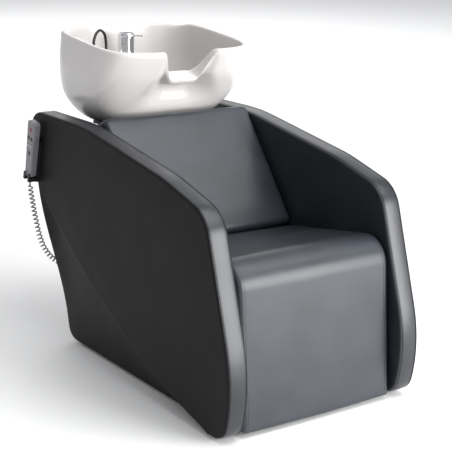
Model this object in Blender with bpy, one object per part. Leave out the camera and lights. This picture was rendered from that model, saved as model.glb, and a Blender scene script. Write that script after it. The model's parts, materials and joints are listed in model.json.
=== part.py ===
"""Shampoo backwash unit: a seat between two padded arms, a lifting leg rest, and a tilting ceramic basin.

Metres, +Z up. The sitter faces -Y, and X runs across the seat. The origin is on the floor, on the middle
plane, half way along the length.
"""
import math

import bmesh
import bpy
from mathutils import Matrix, Vector

# Driving dimensions
HALF_WIDTH = 0.330          # middle plane to the outer face of an arm
ARM_INNER = 0.266           # middle plane to the inner face of an arm
ARM_CLEAR = 0.010           # the arms' height over the floor
ARM_TOP = 0.735
ARM_REAR_FOOT = (0.3855, ARM_CLEAR)
ARM_REAR_TOP = (0.554, ARM_TOP)
FACET_DEPTH = 0.0485        # how far the lower rear facet tapers in
CREASE_START = (0.490, 0.500)
CREASE_BEND = (0.039, 0.117)
CREASE_END = (-0.489, 0.011)
GAP = 0.0003                # between pieces that touch

SEAT_HALF = 0.2595
BACK_FOOT = (-0.070, 0.424)     # lower edge of the backrest's front face
BACK_HEAD = (0.194, 0.758)      # upper edge of the backrest's front face
BACK_THICK = 0.090
BOARD = 0.015
SIDE_BOARD = 0.018

LEG_AXIS = (-0.440, 0.395)      # leg rest shaft, across the seat
LEG_RADIUS = 0.078
LEG_HALF = 0.257
LEG_FOOT = 0.016
SHAFT_RADIUS = 0.008
CRANK_LENGTH = 0.130
CRANK_REST = math.radians(40)
CRANK_HALF = 0.011
FORK_DEPTH = 0.0294             # from the crank's end back to the floor of the rod's fork
FORK_WALL = 0.004

ROD_HEIGHT = LEG_AXIS[1] - CRANK_LENGTH * math.cos(CRANK_REST)

BASIN_BOTTOM = 0.700
BASIN_FLOOR = 0.722
CROWN = 0.004
DRAIN = (0.0, 0.385)
DRAIN_RADIUS = 0.026
TILT_AXIS = (0.305, 0.672)
TILT_PIN_RADIUS = 0.006

DECK_TOP = 0.880
DECK_UNDER = 0.865
MIXER = (0.0, 0.500)
MIXER_RADIUS = 0.026
MIXER_TOP = 0.950
LEVER_ANGLE = math.radians(40)
LEVER_REACH = 0.0306
FERRULE = (-0.072, 0.505)
SHOWER = (-0.138, 0.466)
GRIP_RADIUS = 0.011
HOSE_RADIUS = 0.0045

HANDSET_PLACE = (-0.351, 0.487, 0.620)
HANDSET_TILT = math.radians(12)
HANDSET_SIZE = (0.022, 0.050, 0.185)
BUTTON_RADIUS = 0.005
COIL_RADIUS = 0.0075
LEAD_RADIUS = 0.00225
GLAND = (-0.200, 0.250)         # on the rear cover: across, height

for old in list(bpy.data.objects):
    bpy.data.objects.remove(old, do_unlink=True)

materials = {}


def material(name, colour, roughness, metallic=0.0):
    found = bpy.data.materials.new(name)
    found.use_nodes = True
    shader = found.node_tree.nodes["Principled BSDF"]
    shader.inputs["Base Color"].default_value = (*colour, 1.0)
    shader.inputs["Roughness"].default_value = roughness
    shader.inputs["Metallic"].default_value = metallic
    materials[name] = found
    return found


material("black_leather", (0.018, 0.019, 0.021), 0.42)
material("plywood", (0.48, 0.33, 0.19), 0.70)
material("dark_steel", (0.03, 0.03, 0.033), 0.45, 0.6)
material("zinc_steel", (0.55, 0.56, 0.58), 0.35, 1.0)
material("chrome", (0.80, 0.81, 0.82), 0.08, 1.0)
material("ceramic", (0.90, 0.89, 0.88), 0.06)
material("black_plastic", (0.02, 0.02, 0.022), 0.40)
material("grey_plastic", (0.20, 0.21, 0.22), 0.45)
material("red_plastic", (0.55, 0.03, 0.03), 0.40)
material("black_rubber", (0.015, 0.015, 0.016), 0.65)
material("cord_grey", (0.42, 0.41, 0.38), 0.55)


# Tools

def finish(name, bm, slot, smooth_angle=40):
    bmesh.ops.remove_doubles(bm, verts=bm.verts, dist=1e-6)
    bmesh.ops.recalc_face_normals(bm, faces=bm.faces)
    if bm.calc_volume(signed=True) < 0:
        bmesh.ops.reverse_faces(bm, faces=bm.faces)
    mesh = bpy.data.meshes.new(name)
    bm.to_mesh(mesh)
    bm.free()
    mesh.materials.append(materials[slot])
    if smooth_angle:
        mesh.shade_smooth()
        mesh.set_sharp_from_angle(angle=math.radians(smooth_angle))
    piece = bpy.data.objects.new(name, mesh)
    bpy.context.scene.collection.objects.link(piece)
    return piece


def outline(corners, steps=6):
    """Points of a polygon whose corners (u, v, radius) are rounded."""
    points = []
    count = len(corners)
    for index, (u, v, radius) in enumerate(corners):
        here = Vector((u, v))
        before = Vector(corners[index - 1][:2]) - here
        after = Vector(corners[(index + 1) % count][:2]) - here
        if radius <= 0:
            points.append((u, v))
            continue
        half = before.angle(after) / 2
        reach = radius / math.tan(half)
        centre = here + (before.normalized() + after.normalized()).normalized() * radius / math.sin(half)
        start = here + before.normalized() * reach - centre
        end = here + after.normalized() * reach - centre
        turn = start.angle_signed(end)
        for step in range(steps + 1):
            swing = Matrix.Rotation(-turn * step / steps, 2)
            points.append(tuple(centre + swing @ start))
    return points


def prism(bm, points, low, high, axis="X"):
    """Extrudes a closed outline along an axis. The outline is (y, z) for X, (x, z) for Y, (x, y) for Z."""
    place = {"X": lambda u, v: (low, u, v), "Y": lambda u, v: (u, low, v), "Z": lambda u, v: (u, v, low)}
    along = {"X": (high - low, 0, 0), "Y": (0, high - low, 0), "Z": (0, 0, high - low)}
    verts = [bm.verts.new(place[axis](u, v)) for u, v in points]
    face = bm.faces.new(verts)
    made = bmesh.ops.extrude_face_region(bm, geom=[face])
    moved = [item for item in made["geom"] if isinstance(item, bmesh.types.BMVert)]
    bmesh.ops.translate(bm, verts=moved, vec=along[axis])


def extruded(name, points, low, high, slot, axis="X", bevel=0.0, segments=2):
    bm = bmesh.new()
    prism(bm, points, low, high, axis)
    bmesh.ops.recalc_face_normals(bm, faces=bm.faces)
    if bevel:
        sharp = [edge for edge in bm.edges if edge.calc_face_angle(0) > 0.6]
        bmesh.ops.bevel(bm, geom=sharp, offset=bevel, segments=segments, profile=0.5, affect="EDGES",
                        clamp_overlap=True)
    return finish(name, bm, slot)


def block(name, x, y, z, slot, bevel=0.0, segments=2):
    """A box from three (low, high) spans."""
    corners = [(y[0], z[0]), (y[1], z[0]), (y[1], z[1]), (y[0], z[1])]
    return extruded(name, corners, x[0], x[1], slot, "X", bevel, segments)


def turned(name, profile, place, slot, steps=24, axis="Z"):
    """Spins a closed (radius, height) profile about an axis through place."""
    bm = bmesh.new()
    verts = [bm.verts.new((max(radius, 0.0), 0, height)) for radius, height in profile]
    edges = [bm.edges.new((verts[i], verts[i + 1])) for i in range(len(verts) - 1)]
    if profile[0][0] > 0:
        edges.append(bm.edges.new((verts[-1], verts[0])))
    bmesh.ops.spin(bm, geom=verts + edges, cent=(0, 0, 0), axis=(0, 0, 1), angle=math.tau, steps=steps,
                   use_duplicate=False, use_merge=True)
    bmesh.ops.remove_doubles(bm, verts=bm.verts, dist=1e-6)
    bmesh.ops.dissolve_degenerate(bm, edges=bm.edges, dist=1e-7)
    turn = {"Z": Matrix.Identity(4), "X": Matrix.Rotation(math.pi / 2, 4, "Y"),
            "Y": Matrix.Rotation(-math.pi / 2, 4, "X")}
    bm.transform(Matrix.Translation(place) @ turn[axis])
    return finish(name, bm, slot)


def rod(name, radius, start, end, place, slot, axis="X", steps=20):
    """A solid round bar along an axis, from start to end, through place."""
    profile = [(0, start), (radius, start), (radius, end), (0, end)]
    return turned(name, profile, place, slot, steps, axis)


def combine(target, tool, operation):
    change = target.modifiers.new(operation.lower(), "BOOLEAN")
    change.operation = operation
    change.solver = "EXACT"
    change.object = tool
    tool.hide_render = True
    tool.display_type = "WIRE"


def hung(pieces, parent):
    for piece in pieces:
        piece.parent = parent
        piece.matrix_parent_inverse = parent.matrix_world.inverted()


def pivot(name, place):
    """An empty on a joint's axis."""
    empty = bpy.data.objects.new(name, None)
    empty.location = place
    bpy.context.scene.collection.objects.link(empty)
    bpy.context.view_layer.update()
    return empty


def ease(value, low, high):
    """Smooth step from 0 at low to 1 at high."""
    share = min(1.0, max(0.0, (value - low) / (high - low)))
    return share * share * (3 - 2 * share)


def read(stations, value):
    """Reads a row of numbers from stations (key, numbers...) in falling order of key."""
    if value >= stations[0][0]:
        return stations[0][1:]
    for upper, lower in zip(stations, stations[1:]):
        if value >= lower[0]:
            share = (value - lower[0]) / (upper[0] - lower[0])
            return [low + (high - low) * share for low, high in zip(lower[1:], upper[1:])]
    return stations[-1][1:]


# Arms: one closed padded body each, whose outer face ends below in a raised, curved crease

def rear_line(height):
    """The y of the arms' sloping rear edge at a height."""
    share = (height - ARM_REAR_FOOT[1]) / (ARM_REAR_TOP[1] - ARM_REAR_FOOT[1])
    return ARM_REAR_FOOT[0] + share * (ARM_REAR_TOP[0] - ARM_REAR_FOOT[0])


def arm_shell():
    """The arm's shared upper outline, then the lower rear outline and the crease, point for point."""
    edge = outline([(rear_line(CREASE_START[1]), CREASE_START[1], 0), (*ARM_REAR_TOP, 0.040),
                    (0.200, ARM_TOP, 0.9), (-0.250, 0.664, 0.7), (-0.461, 0.607, 0.105),
                    (-0.594, 0.170, 0.42), (-0.556, ARM_CLEAR, 0.060), (CREASE_END[0], ARM_CLEAR, 0)], 5)
    foot = outline([(CREASE_END[0], ARM_CLEAR, 0), (*ARM_REAR_FOOT, 0.050),
                    (rear_line(CREASE_START[1]), CREASE_START[1], 0)], 5)
    corner = foot[1:-1]
    steps = 9
    bottom = [(CREASE_END[0] + (corner[0][0] - CREASE_END[0]) * i / steps, ARM_CLEAR) for i in range(1, steps)]
    top = foot[-1]
    rise = [(corner[-1][0] + (top[0] - corner[-1][0]) * i / 6, corner[-1][1] + (top[1] - corner[-1][1]) * i / 6)
            for i in range(1, 6)]
    lower = bottom + corner + rise
    crease = []
    for index in range(len(lower)):
        t = (index + 1) / (len(lower) + 1)
        mix = [(1 - t) ** 2, 2 * t * (1 - t), t * t]
        crease.append(tuple(mix[0] * CREASE_END[k] + mix[1] * CREASE_BEND[k] + mix[2] * CREASE_START[k]
                            for k in range(2)))
    return edge, lower, crease


def arm(name, side):
    edge, lower, crease = arm_shell()
    bm = bmesh.new()

    def facet(y, z):
        rear = ease(CREASE_START[1] - z, 0.0, 0.42)
        front = ease(y, CREASE_END[0], CREASE_END[0] + 0.13)
        return 0.003 + (FACET_DEPTH - 0.003) * min(rear, front)

    inner = [bm.verts.new((side * ARM_INNER, y, z)) for y, z in edge + lower]
    middle = [bm.verts.new((side * (HALF_WIDTH - 0.003), y, z)) for y, z in edge]
    middle += [bm.verts.new((side * (HALF_WIDTH - facet(y, z)), y, z)) for y, z in lower]
    outer = [bm.verts.new((side * HALF_WIDTH, y, z)) for y, z in edge + crease]
    count = len(inner)
    for index in range(count):
        after = (index + 1) % count
        bm.faces.new((inner[index], inner[after], middle[after], middle[index]))
        bm.faces.new((middle[index], middle[after], outer[after], outer[index]))
    bm.faces.new(inner)
    bm.faces.new(outer)
    bmesh.ops.recalc_face_normals(bm, faces=bm.faces)
    rim = [e for e in bm.edges if all(abs(abs(v.co.x) - ARM_INNER) < 1e-6 for v in e.verts)]
    bmesh.ops.bevel(bm, geom=rim, offset=0.008, segments=2, profile=0.5, affect="EDGES")
    return finish(name, bm, "black_leather", 30)


arm("left_arm", -1)
arm("right_arm", 1)


# Seat, back, and the boards and rails under them

def along_back(rise, depth):
    """A point in the side view, measured up the backrest's face and into its thickness."""
    run = Vector(BACK_HEAD) - Vector(BACK_FOOT)
    way = run.normalized()
    inward = Vector((way.y, -way.x))
    return tuple(Vector(BACK_FOOT) + way * rise + inward * depth)


def circle_points(radius, start, end, steps):
    """Points on a circle about the leg rest's shaft, angles in degrees from +Y towards +Z."""
    turns = [math.radians(start + (end - start) * i / steps) for i in range(steps + 1)]
    return [(LEG_AXIS[0] + radius * math.cos(a), LEG_AXIS[1] + radius * math.sin(a)) for a in turns]


backHeight = (Vector(BACK_HEAD) - Vector(BACK_FOOT)).length
seatUnder = [(-0.357, 0.372), (-0.012, 0.322)]
seatSlope = (seatUnder[1][1] - seatUnder[0][1]) / (seatUnder[1][0] - seatUnder[0][0])


def seat_line(y, drop):
    return seatUnder[0][1] + seatSlope * (y - seatUnder[0][0]) - drop


seatFront = circle_points(LEG_RADIUS + 0.003, 0, 88, 7)
seatPoints = seatFront + [(-0.080, 0.4155), (-0.012, 0.362), seatUnder[1], seatUnder[0]]
extruded("seat_cushion", seatPoints, -SEAT_HALF, SEAT_HALF, "black_leather")
backPoints = outline([(*along_back(0, 0), 0.012), (*along_back(0, BACK_THICK), 0),
                      (*along_back(backHeight, BACK_THICK), 0.02), (*along_back(backHeight, 0), 0.016)], 3)
extruded("back_cushion", backPoints, -SEAT_HALF, SEAT_HALF, "black_leather")

seatBoard = [(-0.357, seat_line(-0.357, 0.0006)), (-0.012, seat_line(-0.012, 0.0006)),
             (-0.012, seat_line(-0.012, BOARD)), (-0.357, seat_line(-0.357, BOARD))]
extruded("seat_board", seatBoard, -0.262, 0.262, "plywood")
backBoard = [along_back(0.0, BACK_THICK + 0.0006), along_back(backHeight - 0.04, BACK_THICK + 0.0006),
             along_back(backHeight - 0.04, BACK_THICK + BOARD), along_back(0.0, BACK_THICK + BOARD)]
extruded("back_board", backBoard, -0.262, 0.262, "plywood")
railDepth = BACK_THICK + BOARD + 0.0006
backRail = [along_back(0.26, railDepth), along_back(0.32, railDepth), along_back(0.32, railDepth + 0.025),
            along_back(0.26, railDepth + 0.025)]
extruded("back_rail", backRail, -0.2655, 0.2655, "plywood")

sideTop = BOARD + 0.0008
sidePoints = [(-0.400, 0.022), (0.355, 0.022), (0.355, 0.300), (-0.012, seat_line(-0.012, sideTop)),
              (-0.356, seat_line(-0.356, sideTop)), (-0.400, 0.300)]
sideOuter = ARM_INNER - GAP
sideInner = sideOuter - SIDE_BOARD
extruded("left_side_board", sidePoints, -sideOuter, -sideInner, "plywood")
extruded("right_side_board", sidePoints, sideInner, sideOuter, "plywood")
railEnd = sideInner - GAP
block("front_rail", (-railEnd, railEnd), (-0.300, -0.270), (0.190, 0.245), "plywood")
block("rear_rail", (-railEnd, railEnd), (0.015, 0.045), (0.245, 0.296), "plywood")

glideRadius = 0.0088
glideX = (sideOuter + sideInner) / 2
glideProfile = [(0, 0), (glideRadius - 0.001, 0), (glideRadius, 0.001), (glideRadius, 0.0217), (0, 0.0217)]
for name, side, y in (("front_left_glide", -1, -0.37), ("front_right_glide", 1, -0.37),
                      ("rear_left_glide", -1, 0.33), ("rear_right_glide", 1, 0.33)):
    turned(name, glideProfile, (side * glideX, y, 0), "black_plastic", 14)


# Leg rest: pad and board on a cranked steel shaft

padTangent = math.degrees(math.atan2(0.031, 0.365))
padPoints = circle_points(LEG_RADIUS, 90, 180 - padTangent, 8)
padPoints = [(u, v, 0) for u, v in padPoints]
padPoints = outline(padPoints + [(-0.549, LEG_FOOT, 0.014), (-0.4975, LEG_FOOT, 0), (-0.462, 0.415, 0),
                                 (LEG_AXIS[0], 0.4225, 0)], 3)
legPad = extruded("leg_rest_pad", padPoints, -LEG_HALF, LEG_HALF, "black_leather")


def pad_rear(height, depth):
    """The y of the leg pad's rear face at a height, moved back by depth."""
    share = (height - LEG_FOOT) / (0.415 - LEG_FOOT)
    return -0.4975 + share * 0.0355 + depth


legBoard = extruded("leg_rest_board", [(pad_rear(0.036, GAP), 0.036), (pad_rear(0.036, 0.012), 0.036),
                                       (pad_rear(0.410, 0.012), 0.410), (pad_rear(0.410, GAP), 0.410)],
                    -0.235, 0.235, "plywood")
legShaft = rod("leg_rest_shaft", SHAFT_RADIUS, -0.262, 0.262, (0, *LEG_AXIS), "zinc_steel", "X")


def shaft_hole(target, radius=SHAFT_RADIUS + GAP):
    hole = rod(target.name + "_hole", radius, -0.3, 0.3, (0, *LEG_AXIS), "zinc_steel", "X")
    combine(target, hole, "DIFFERENCE")
    return hole


armPlate = [(pad_rear(0.412, 0.0123), 0.412), (-0.424, 0.412), (-0.424, 0.375), (pad_rear(0.22, 0.030), 0.220),
            (pad_rear(0.220, 0.0123), 0.220)]
legPlates = []
for name, x in (("leg_rest_left_plate", -0.200), ("leg_rest_right_plate", 0.195)):
    plate = extruded(name, armPlate, x, x + 0.005, "dark_steel")
    legPlates += [plate, shaft_hole(plate)]

crankEnd = (LEG_AXIS[0] + CRANK_LENGTH * math.sin(CRANK_REST), ROD_HEIGHT)
crankPoints = []
for centre, base in ((LEG_AXIS, 50), (crankEnd, 230)):
    for step in range(9):
        turn = math.radians(base + 180 * step / 8)
        crankPoints.append((centre[0] + CRANK_HALF * math.cos(turn), centre[1] + CRANK_HALF * math.sin(turn)))
legCrank = extruded("leg_rest_crank", crankPoints, -0.008, 0.008, "dark_steel")
crankHole = shaft_hole(legCrank)
legPivot = pivot("leg_rest_pivot", (0, *LEG_AXIS))
hung([legPad, legBoard, legShaft, legCrank, crankHole] + legPlates, legPivot)

for name, side in (("left_shaft_bearing", -1), ("right_shaft_bearing", 1)):
    span = sorted((side * 0.2502, side * sideOuter))
    bearing = block(name, span, (-0.456, -0.424), (0.379, 0.411), "dark_steel")
    shaft_hole(bearing)


# Electric actuator that lifts the leg rest

forkBase = crankEnd[0] + FORK_DEPTH
tubeMouth = forkBase + 0.018
tubeRear = -0.100
rodPlace = (0, 0, ROD_HEIGHT)


def turned_y(name, profile, slot, steps=20):
    """A turned piece on the actuator's axis, from a profile of (radius, y)."""
    return turned(name, profile, rodPlace, slot, steps, "Y")


turned_y("actuator_tube", [(0, tubeRear), (0.014, tubeRear), (0.014, tubeMouth), (0.0085, tubeMouth),
                           (0.0085, tubeRear - 0.012), (0, tubeRear - 0.012)], "zinc_steel")
pushRod = turned_y("actuator_rod", [(0, tubeRear - 0.015), (0.008, tubeRear - 0.015), (0.008, forkBase + 0.004),
                                    (0, forkBase + 0.004)], "zinc_steel")
forkHalf = 0.008 + 0.0005 + FORK_WALL
forkLow, forkHigh = ROD_HEIGHT - 0.010, ROD_HEIGHT + 0.010
forkFront, forkRear = crankEnd[0] - 0.012, forkBase + 0.012
forkSide = outline([(forkFront, forkLow, 0.008), (forkFront, forkHigh, 0.008),
                    (forkRear, forkHigh, 0.002), (forkRear, forkLow, 0.002)], 4)
combine(pushRod, extruded("rod_fork", forkSide, -forkHalf, forkHalf, "zinc_steel"), "UNION")
combine(pushRod, block("rod_fork_slot", (-0.0085, 0.0085), (crankEnd[0] - 0.03, forkBase),
                       (ROD_HEIGHT - 0.03, ROD_HEIGHT + 0.03), "zinc_steel"), "DIFFERENCE")
block("actuator_motor", (-0.035, 0.070), (tubeRear + GAP, -0.020), (0.236, 0.3035), "black_plastic", 0.006)


# Base plate, posts and the hinge that carries the basin

block("base_plate", (-0.190, 0.190), (-0.160, 0.345), (0.0, 0.006), "dark_steel")
for name, x in (("left_post", -0.165), ("right_post", 0.135)):
    block(name, (x, x + 0.030), (0.285, 0.325), (0.0063, 0.6400), "dark_steel", 0.003, 1)
crossbar = block("post_crossbar", (-0.170, 0.170), (0.285, 0.325), (0.6403, 0.6480), "dark_steel")


def ear(name, x, low, high, half):
    """A plate with a round head about the tilt pin."""
    points = [(TILT_AXIS[0] - half, low), (TILT_AXIS[0] + half, low)]
    points += [(TILT_AXIS[0] + half * math.cos(math.radians(a)), high + half * math.sin(math.radians(a)))
               for a in range(0, 181, 30)]
    return extruded(name, points, x[0], x[1], "dark_steel")


for index, x in enumerate((-0.146, 0.140)):
    combine(crossbar, ear(f"crossbar_ear_{index}", (x, x + 0.006), 0.645, TILT_AXIS[1], 0.012), "UNION")
pinSpan = (-0.196, 0.160)
pinHole = rod("pin_hole", TILT_PIN_RADIUS + GAP, -0.3, 0.3, (0, *TILT_AXIS), "zinc_steel", "X")
combine(crossbar, pinHole, "DIFFERENCE")
rod("tilt_pin", TILT_PIN_RADIUS, *pinSpan, (0, *TILT_AXIS), "zinc_steel", "X")

bracketZ = (0.6900, 0.6996)
bracket = block("tilt_bracket", (-0.150, 0.150), (0.275, 0.455), bracketZ, "dark_steel")
for index, x in enumerate((-0.136, 0.120)):
    knuckle = extruded(f"bracket_knuckle_{index}",
                       [(TILT_AXIS[0] + 0.011 * math.cos(math.radians(a)),
                         TILT_AXIS[1] + 0.011 * math.sin(math.radians(a))) for a in range(180, 361, 30)]
                       + [(TILT_AXIS[0] + 0.011, 0.694), (TILT_AXIS[0] - 0.011, 0.694)],
                       x, x + 0.016, "dark_steel")
    combine(bracket, knuckle, "UNION")
combine(bracket, pinHole, "DIFFERENCE")
drainCut = rod("bracket_drain_hole", 0.034, 0.60, 0.80, (*DRAIN, 0), "zinc_steel", "Z", 28)
combine(bracket, drainCut, "DIFFERENCE")

leverX = (-0.195, -0.187)
lever = [(TILT_AXIS[0] + 0.012 * math.cos(math.radians(a)), TILT_AXIS[1] + 0.012 * math.sin(math.radians(a)))
         for a in range(60, 301, 30)]
lever += [(TILT_AXIS[0] + 0.075, TILT_AXIS[1] - 0.004), (TILT_AXIS[0] + 0.075, TILT_AXIS[1] + 0.006)]
lockLever = extruded("tilt_lock_lever", lever, *leverX, "black_plastic")
combine(lockLever, pinHole, "DIFFERENCE")


# Ceramic basin: rings worked out from stations of height, half width, front and rear

basinStations = [(1.00, 0.255, 0.092, 0.595), (0.947, 0.262, 0.098, 0.593), (0.90, 0.266, 0.122, 0.589),
                 (0.86, 0.266, 0.145, 0.583), (0.81, 0.260, 0.184, 0.568), (0.775, 0.246, 0.212, 0.551),
                 (0.74, 0.218, 0.242, 0.530), (0.715, 0.186, 0.265, 0.511), (0.70, 0.150, 0.285, 0.492)]
bowlStations = [(1.00, 0.242, 0.106, 0.582), (0.90, 0.252, 0.137, 0.576), (0.86, 0.252, 0.161, 0.569),
                (0.81, 0.244, 0.201, 0.552), (0.775, 0.222, 0.233, 0.530), (0.745, 0.180, 0.270, 0.498),
                (0.728, 0.120, 0.312, 0.456), (BASIN_FLOOR, 0.055, 0.335, 0.435)]
frontPower, rearPower = 4.6, 3.0     # superellipse powers of the flat front and the round rear
notchEdge = (0.042, 0.095)
notchDepth = 0.075
notchFall = 0.30             # the neck rest's slope, down towards its front
bayDepth = 0.055             # how far the front wall is set back between its two lobes
bayEdge = (0.030, 0.105)
lipReach = 0.055             # how far the neck rest's lip stands out from the set back wall
lipEdge = (0.030, 0.092)
lipShare = (0.76, 0.92)
crestBack = 0.211            # the rear edge of the neck rest


def rim_height(x, y, turn):
    tilted = 0.947 + 0.103 * (y - 0.092)
    rear = 0.012 * ease(y, 0.470, 0.530)
    if math.sin(turn) >= 0:
        return tilted - rear
    fall = notchDepth + notchFall * max(0.0, crestBack - y)
    return tilted - fall * (1 - ease(abs(x), *notchEdge))


def oval(half, front, rear, turn):
    """A point of a closed curve with a flat front, a round rear and straight sides."""
    c, s = math.cos(turn), math.sin(turn)
    power = 2 / (frontPower if s < 0 else rearPower)
    x = half * math.copysign(abs(c) ** power, c)
    y = (front + rear) / 2 + (rear - front) / 2 * math.copysign(abs(s) ** power, s)
    return x, y


def even_turns():
    """Angles whose points are evenly spread round the rim, and closer together at the neck rest."""
    fine = [math.pi / 2 + math.tau * i / 4000 for i in range(4001)]
    places = [Vector(oval(0.262, 0.092, 0.587, a)) for a in fine]
    walked = [0.0]
    for a, b in zip(places, places[1:]):
        walked.append(walked[-1] + (b - a).length)
    shares = [0.5]
    while shares[-1] < 0.992:
        shares.append(shares[-1] + (0.0065 if shares[-1] < 0.585 else 0.0135))
    shares = [1 - share for share in reversed(shares[1:])] + shares
    turns = []
    spot = 0
    for share in shares:
        while walked[spot] < share * walked[-1]:
            spot += 1
        turns.append(fine[spot])
    return turns


basinTurns = even_turns()
basinSegments = len(basinTurns)


def ring_point(stations, turn, height, lip):
    """The point of a ring read from stations; lip is the share of the neck rest's reach at that height."""
    half, front, rear = read(stations, height)
    x, y = oval(half, front, rear, turn)
    if math.sin(turn) < 0:
        wider = 0.9 * max(0.0, 0.870 - height)       # the bay opens out towards its foot
        bay = bayDepth * ease(height, 0.745, 0.850)
        y += bay * (1 - ease(abs(x), bayEdge[0], bayEdge[1] + wider))
        y -= lipReach * lip * (1 - ease(abs(x), *lipEdge))
    return x, y


def ring_places(stations, share, floor, outside):
    """One ring's points; share runs from 0 at the floor height to 1 just under the rim's crown."""
    lip = ease(share, *lipShare) if outside else 0.0
    places = []
    for turn in basinTurns:
        x, y = ring_point(stations, turn, 0.95, lip)
        for attempt in range(4):
            height = floor + (rim_height(x, y, turn) - CROWN - floor) * share
            x, y = ring_point(stations, turn, height, lip)
        places.append((x, y, height))
    return places


def basin_shell():
    outerShares = (0.0, 0.06, 0.16, 0.30, 0.45, 0.60, 0.74, 0.86, 0.95, 1.0)
    bowlShares = (1.0, 0.94, 0.82, 0.66, 0.50, 0.34, 0.20, 0.10, 0.03, 0.0)
    rings = [ring_places(basinStations, share, BASIN_BOTTOM, True) for share in outerShares]
    bowl = [ring_places(bowlStations, share, BASIN_FLOOR, False) for share in bowlShares]
    crown = []
    for outside, inside in zip(rings[-1], bowl[0]):
        x, y = (outside[0] + inside[0]) / 2, (outside[1] + inside[1]) / 2
        crown.append((x, y, (outside[2] + inside[2]) / 2 + CROWN))
    rings += [crown] + bowl
    for height in (BASIN_FLOOR, BASIN_BOTTOM):
        rings.append([(DRAIN[0] + DRAIN_RADIUS * math.cos(a), DRAIN[1] + DRAIN_RADIUS * math.sin(a), height)
                      for a in basinTurns])
    bm = bmesh.new()
    loops = [[bm.verts.new(place) for place in ring] for ring in rings]
    loops.append(loops[0])
    for lower, upper in zip(loops, loops[1:]):
        for i in range(basinSegments):
            j = (i + 1) % basinSegments
            bm.faces.new((lower[i], lower[j], upper[j], upper[i]))
    return finish("basin", bm, "ceramic", 60)


basin = basin_shell()
deckProfile = [(0.440, 0.732), (0.440, DECK_TOP), (0.572, DECK_TOP), (0.566, 0.855), (0.550, 0.810),
               (0.531, 0.775), (0.508, 0.745), (0.492, 0.732)]
deck = extruded("basin_deck", deckProfile, -0.106, 0.046, "ceramic", "X", 0.010, 3)
combine(basin, deck, "UNION")
pocketProfile = [(0.453, 0.600), (0.453, DECK_UNDER), (0.551, DECK_UNDER), (0.546, 0.845), (0.531, 0.810),
                 (0.513, 0.775), (0.494, 0.745), (0.482, 0.700), (0.482, 0.600)]
pocket = extruded("basin_pocket", pocketProfile, -0.094, 0.034, "ceramic")
combine(basin, pocket, "DIFFERENCE")
for name, place, radius in (("mixer_hole", MIXER, 0.0125), ("ferrule_hole", FERRULE, 0.0085)):
    hole = rod(name, radius, 0.84, 0.90, (*place, 0), "ceramic", "Z", 20)
    combine(basin, hole, "DIFFERENCE")


# Drain, mixer and shower

flangeTop = BASIN_FLOOR + 0.004
flangeUnder = BASIN_FLOOR + GAP
turned("drain_flange", [(0.0195, 0.684), (0.0235, 0.684), (0.0235, flangeUnder), (0.034, flangeUnder),
                        (0.034, flangeTop - 0.001), (0.031, flangeTop), (0.0195, BASIN_FLOOR - 0.004)],
       (*DRAIN, 0), "chrome", 28)
strainer = turned("drain_strainer", [(0, BASIN_FLOOR - 0.004), (0.019, BASIN_FLOOR - 0.004),
                                     (0.019, BASIN_FLOOR - 0.001), (0, BASIN_FLOOR)], (*DRAIN, 0), "chrome", 24)
for step in range(6):
    turn = math.tau * step / 6
    spot = (DRAIN[0] + 0.0115 * math.cos(turn), DRAIN[1] + 0.0115 * math.sin(turn), 0)
    combine(strainer, rod(f"strainer_hole_{step}", 0.0032, 0.70, 0.74, spot, "chrome", "Z", 10), "DIFFERENCE")
turned("drain_tailpiece", [(0.0150, 0.560), (0.0180, 0.560), (0.0180, 0.655), (0.0290, 0.655), (0.0290, 0.6834),
                           (0.0150, 0.6834)], (*DRAIN, 0), "chrome", 24)

mixerFoot = MIXER_RADIUS + 0.003
capTop = MIXER_TOP + 0.016
turned("mixer_body", [(0, 0.826), (0.0085, 0.826), (0.0085, 0.8440), (0.0120, 0.8440), (0.0120, DECK_TOP + GAP),
                      (mixerFoot, DECK_TOP + GAP), (mixerFoot, DECK_TOP + 0.004),
                      (MIXER_RADIUS, DECK_TOP + 0.005), (MIXER_RADIUS, MIXER_TOP), (0, MIXER_TOP)],
       (*MIXER, 0), "chrome", 28)
turned("mixer_cap", [(0, MIXER_TOP + GAP), (MIXER_RADIUS, MIXER_TOP + GAP), (MIXER_RADIUS, capTop - 0.0015),
                     (MIXER_RADIUS - 0.0015, capTop), (0, capTop)], (*MIXER, 0), "chrome", 28)
leverWay = Vector((math.sin(LEVER_ANGLE), -math.cos(LEVER_ANGLE), 0))
leverRoot = Vector((*MIXER, 0.958)) + leverWay * LEVER_REACH
leverTurn = Matrix.Rotation(LEVER_ANGLE - math.pi / 2, 4, "Z")
lever = turned("mixer_lever", [(0, -0.0042), (0.0030, -0.003), (0.0042, 0.0), (0.0032, 0.004), (0.0026, 0.022),
                               (0.0034, 0.026), (0.0022, 0.029), (0, 0.0295)], (0, 0, 0), "chrome", 14, "X")
lever.matrix_world = Matrix.Translation(leverRoot) @ leverTurn

turned("hose_ferrule", [(HOSE_RADIUS + 0.0010, DECK_TOP - 0.012), (0.0080, DECK_TOP - 0.012),
                        (0.0080, DECK_TOP + GAP), (0.0130, DECK_TOP + GAP), (0.0130, DECK_TOP + 0.004),
                        (0.0090, DECK_TOP + 0.012), (0.0075, DECK_TOP + 0.036),
                        (HOSE_RADIUS + 0.0010, DECK_TOP + 0.036)], (*FERRULE, 0), "chrome", 20)

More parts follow.
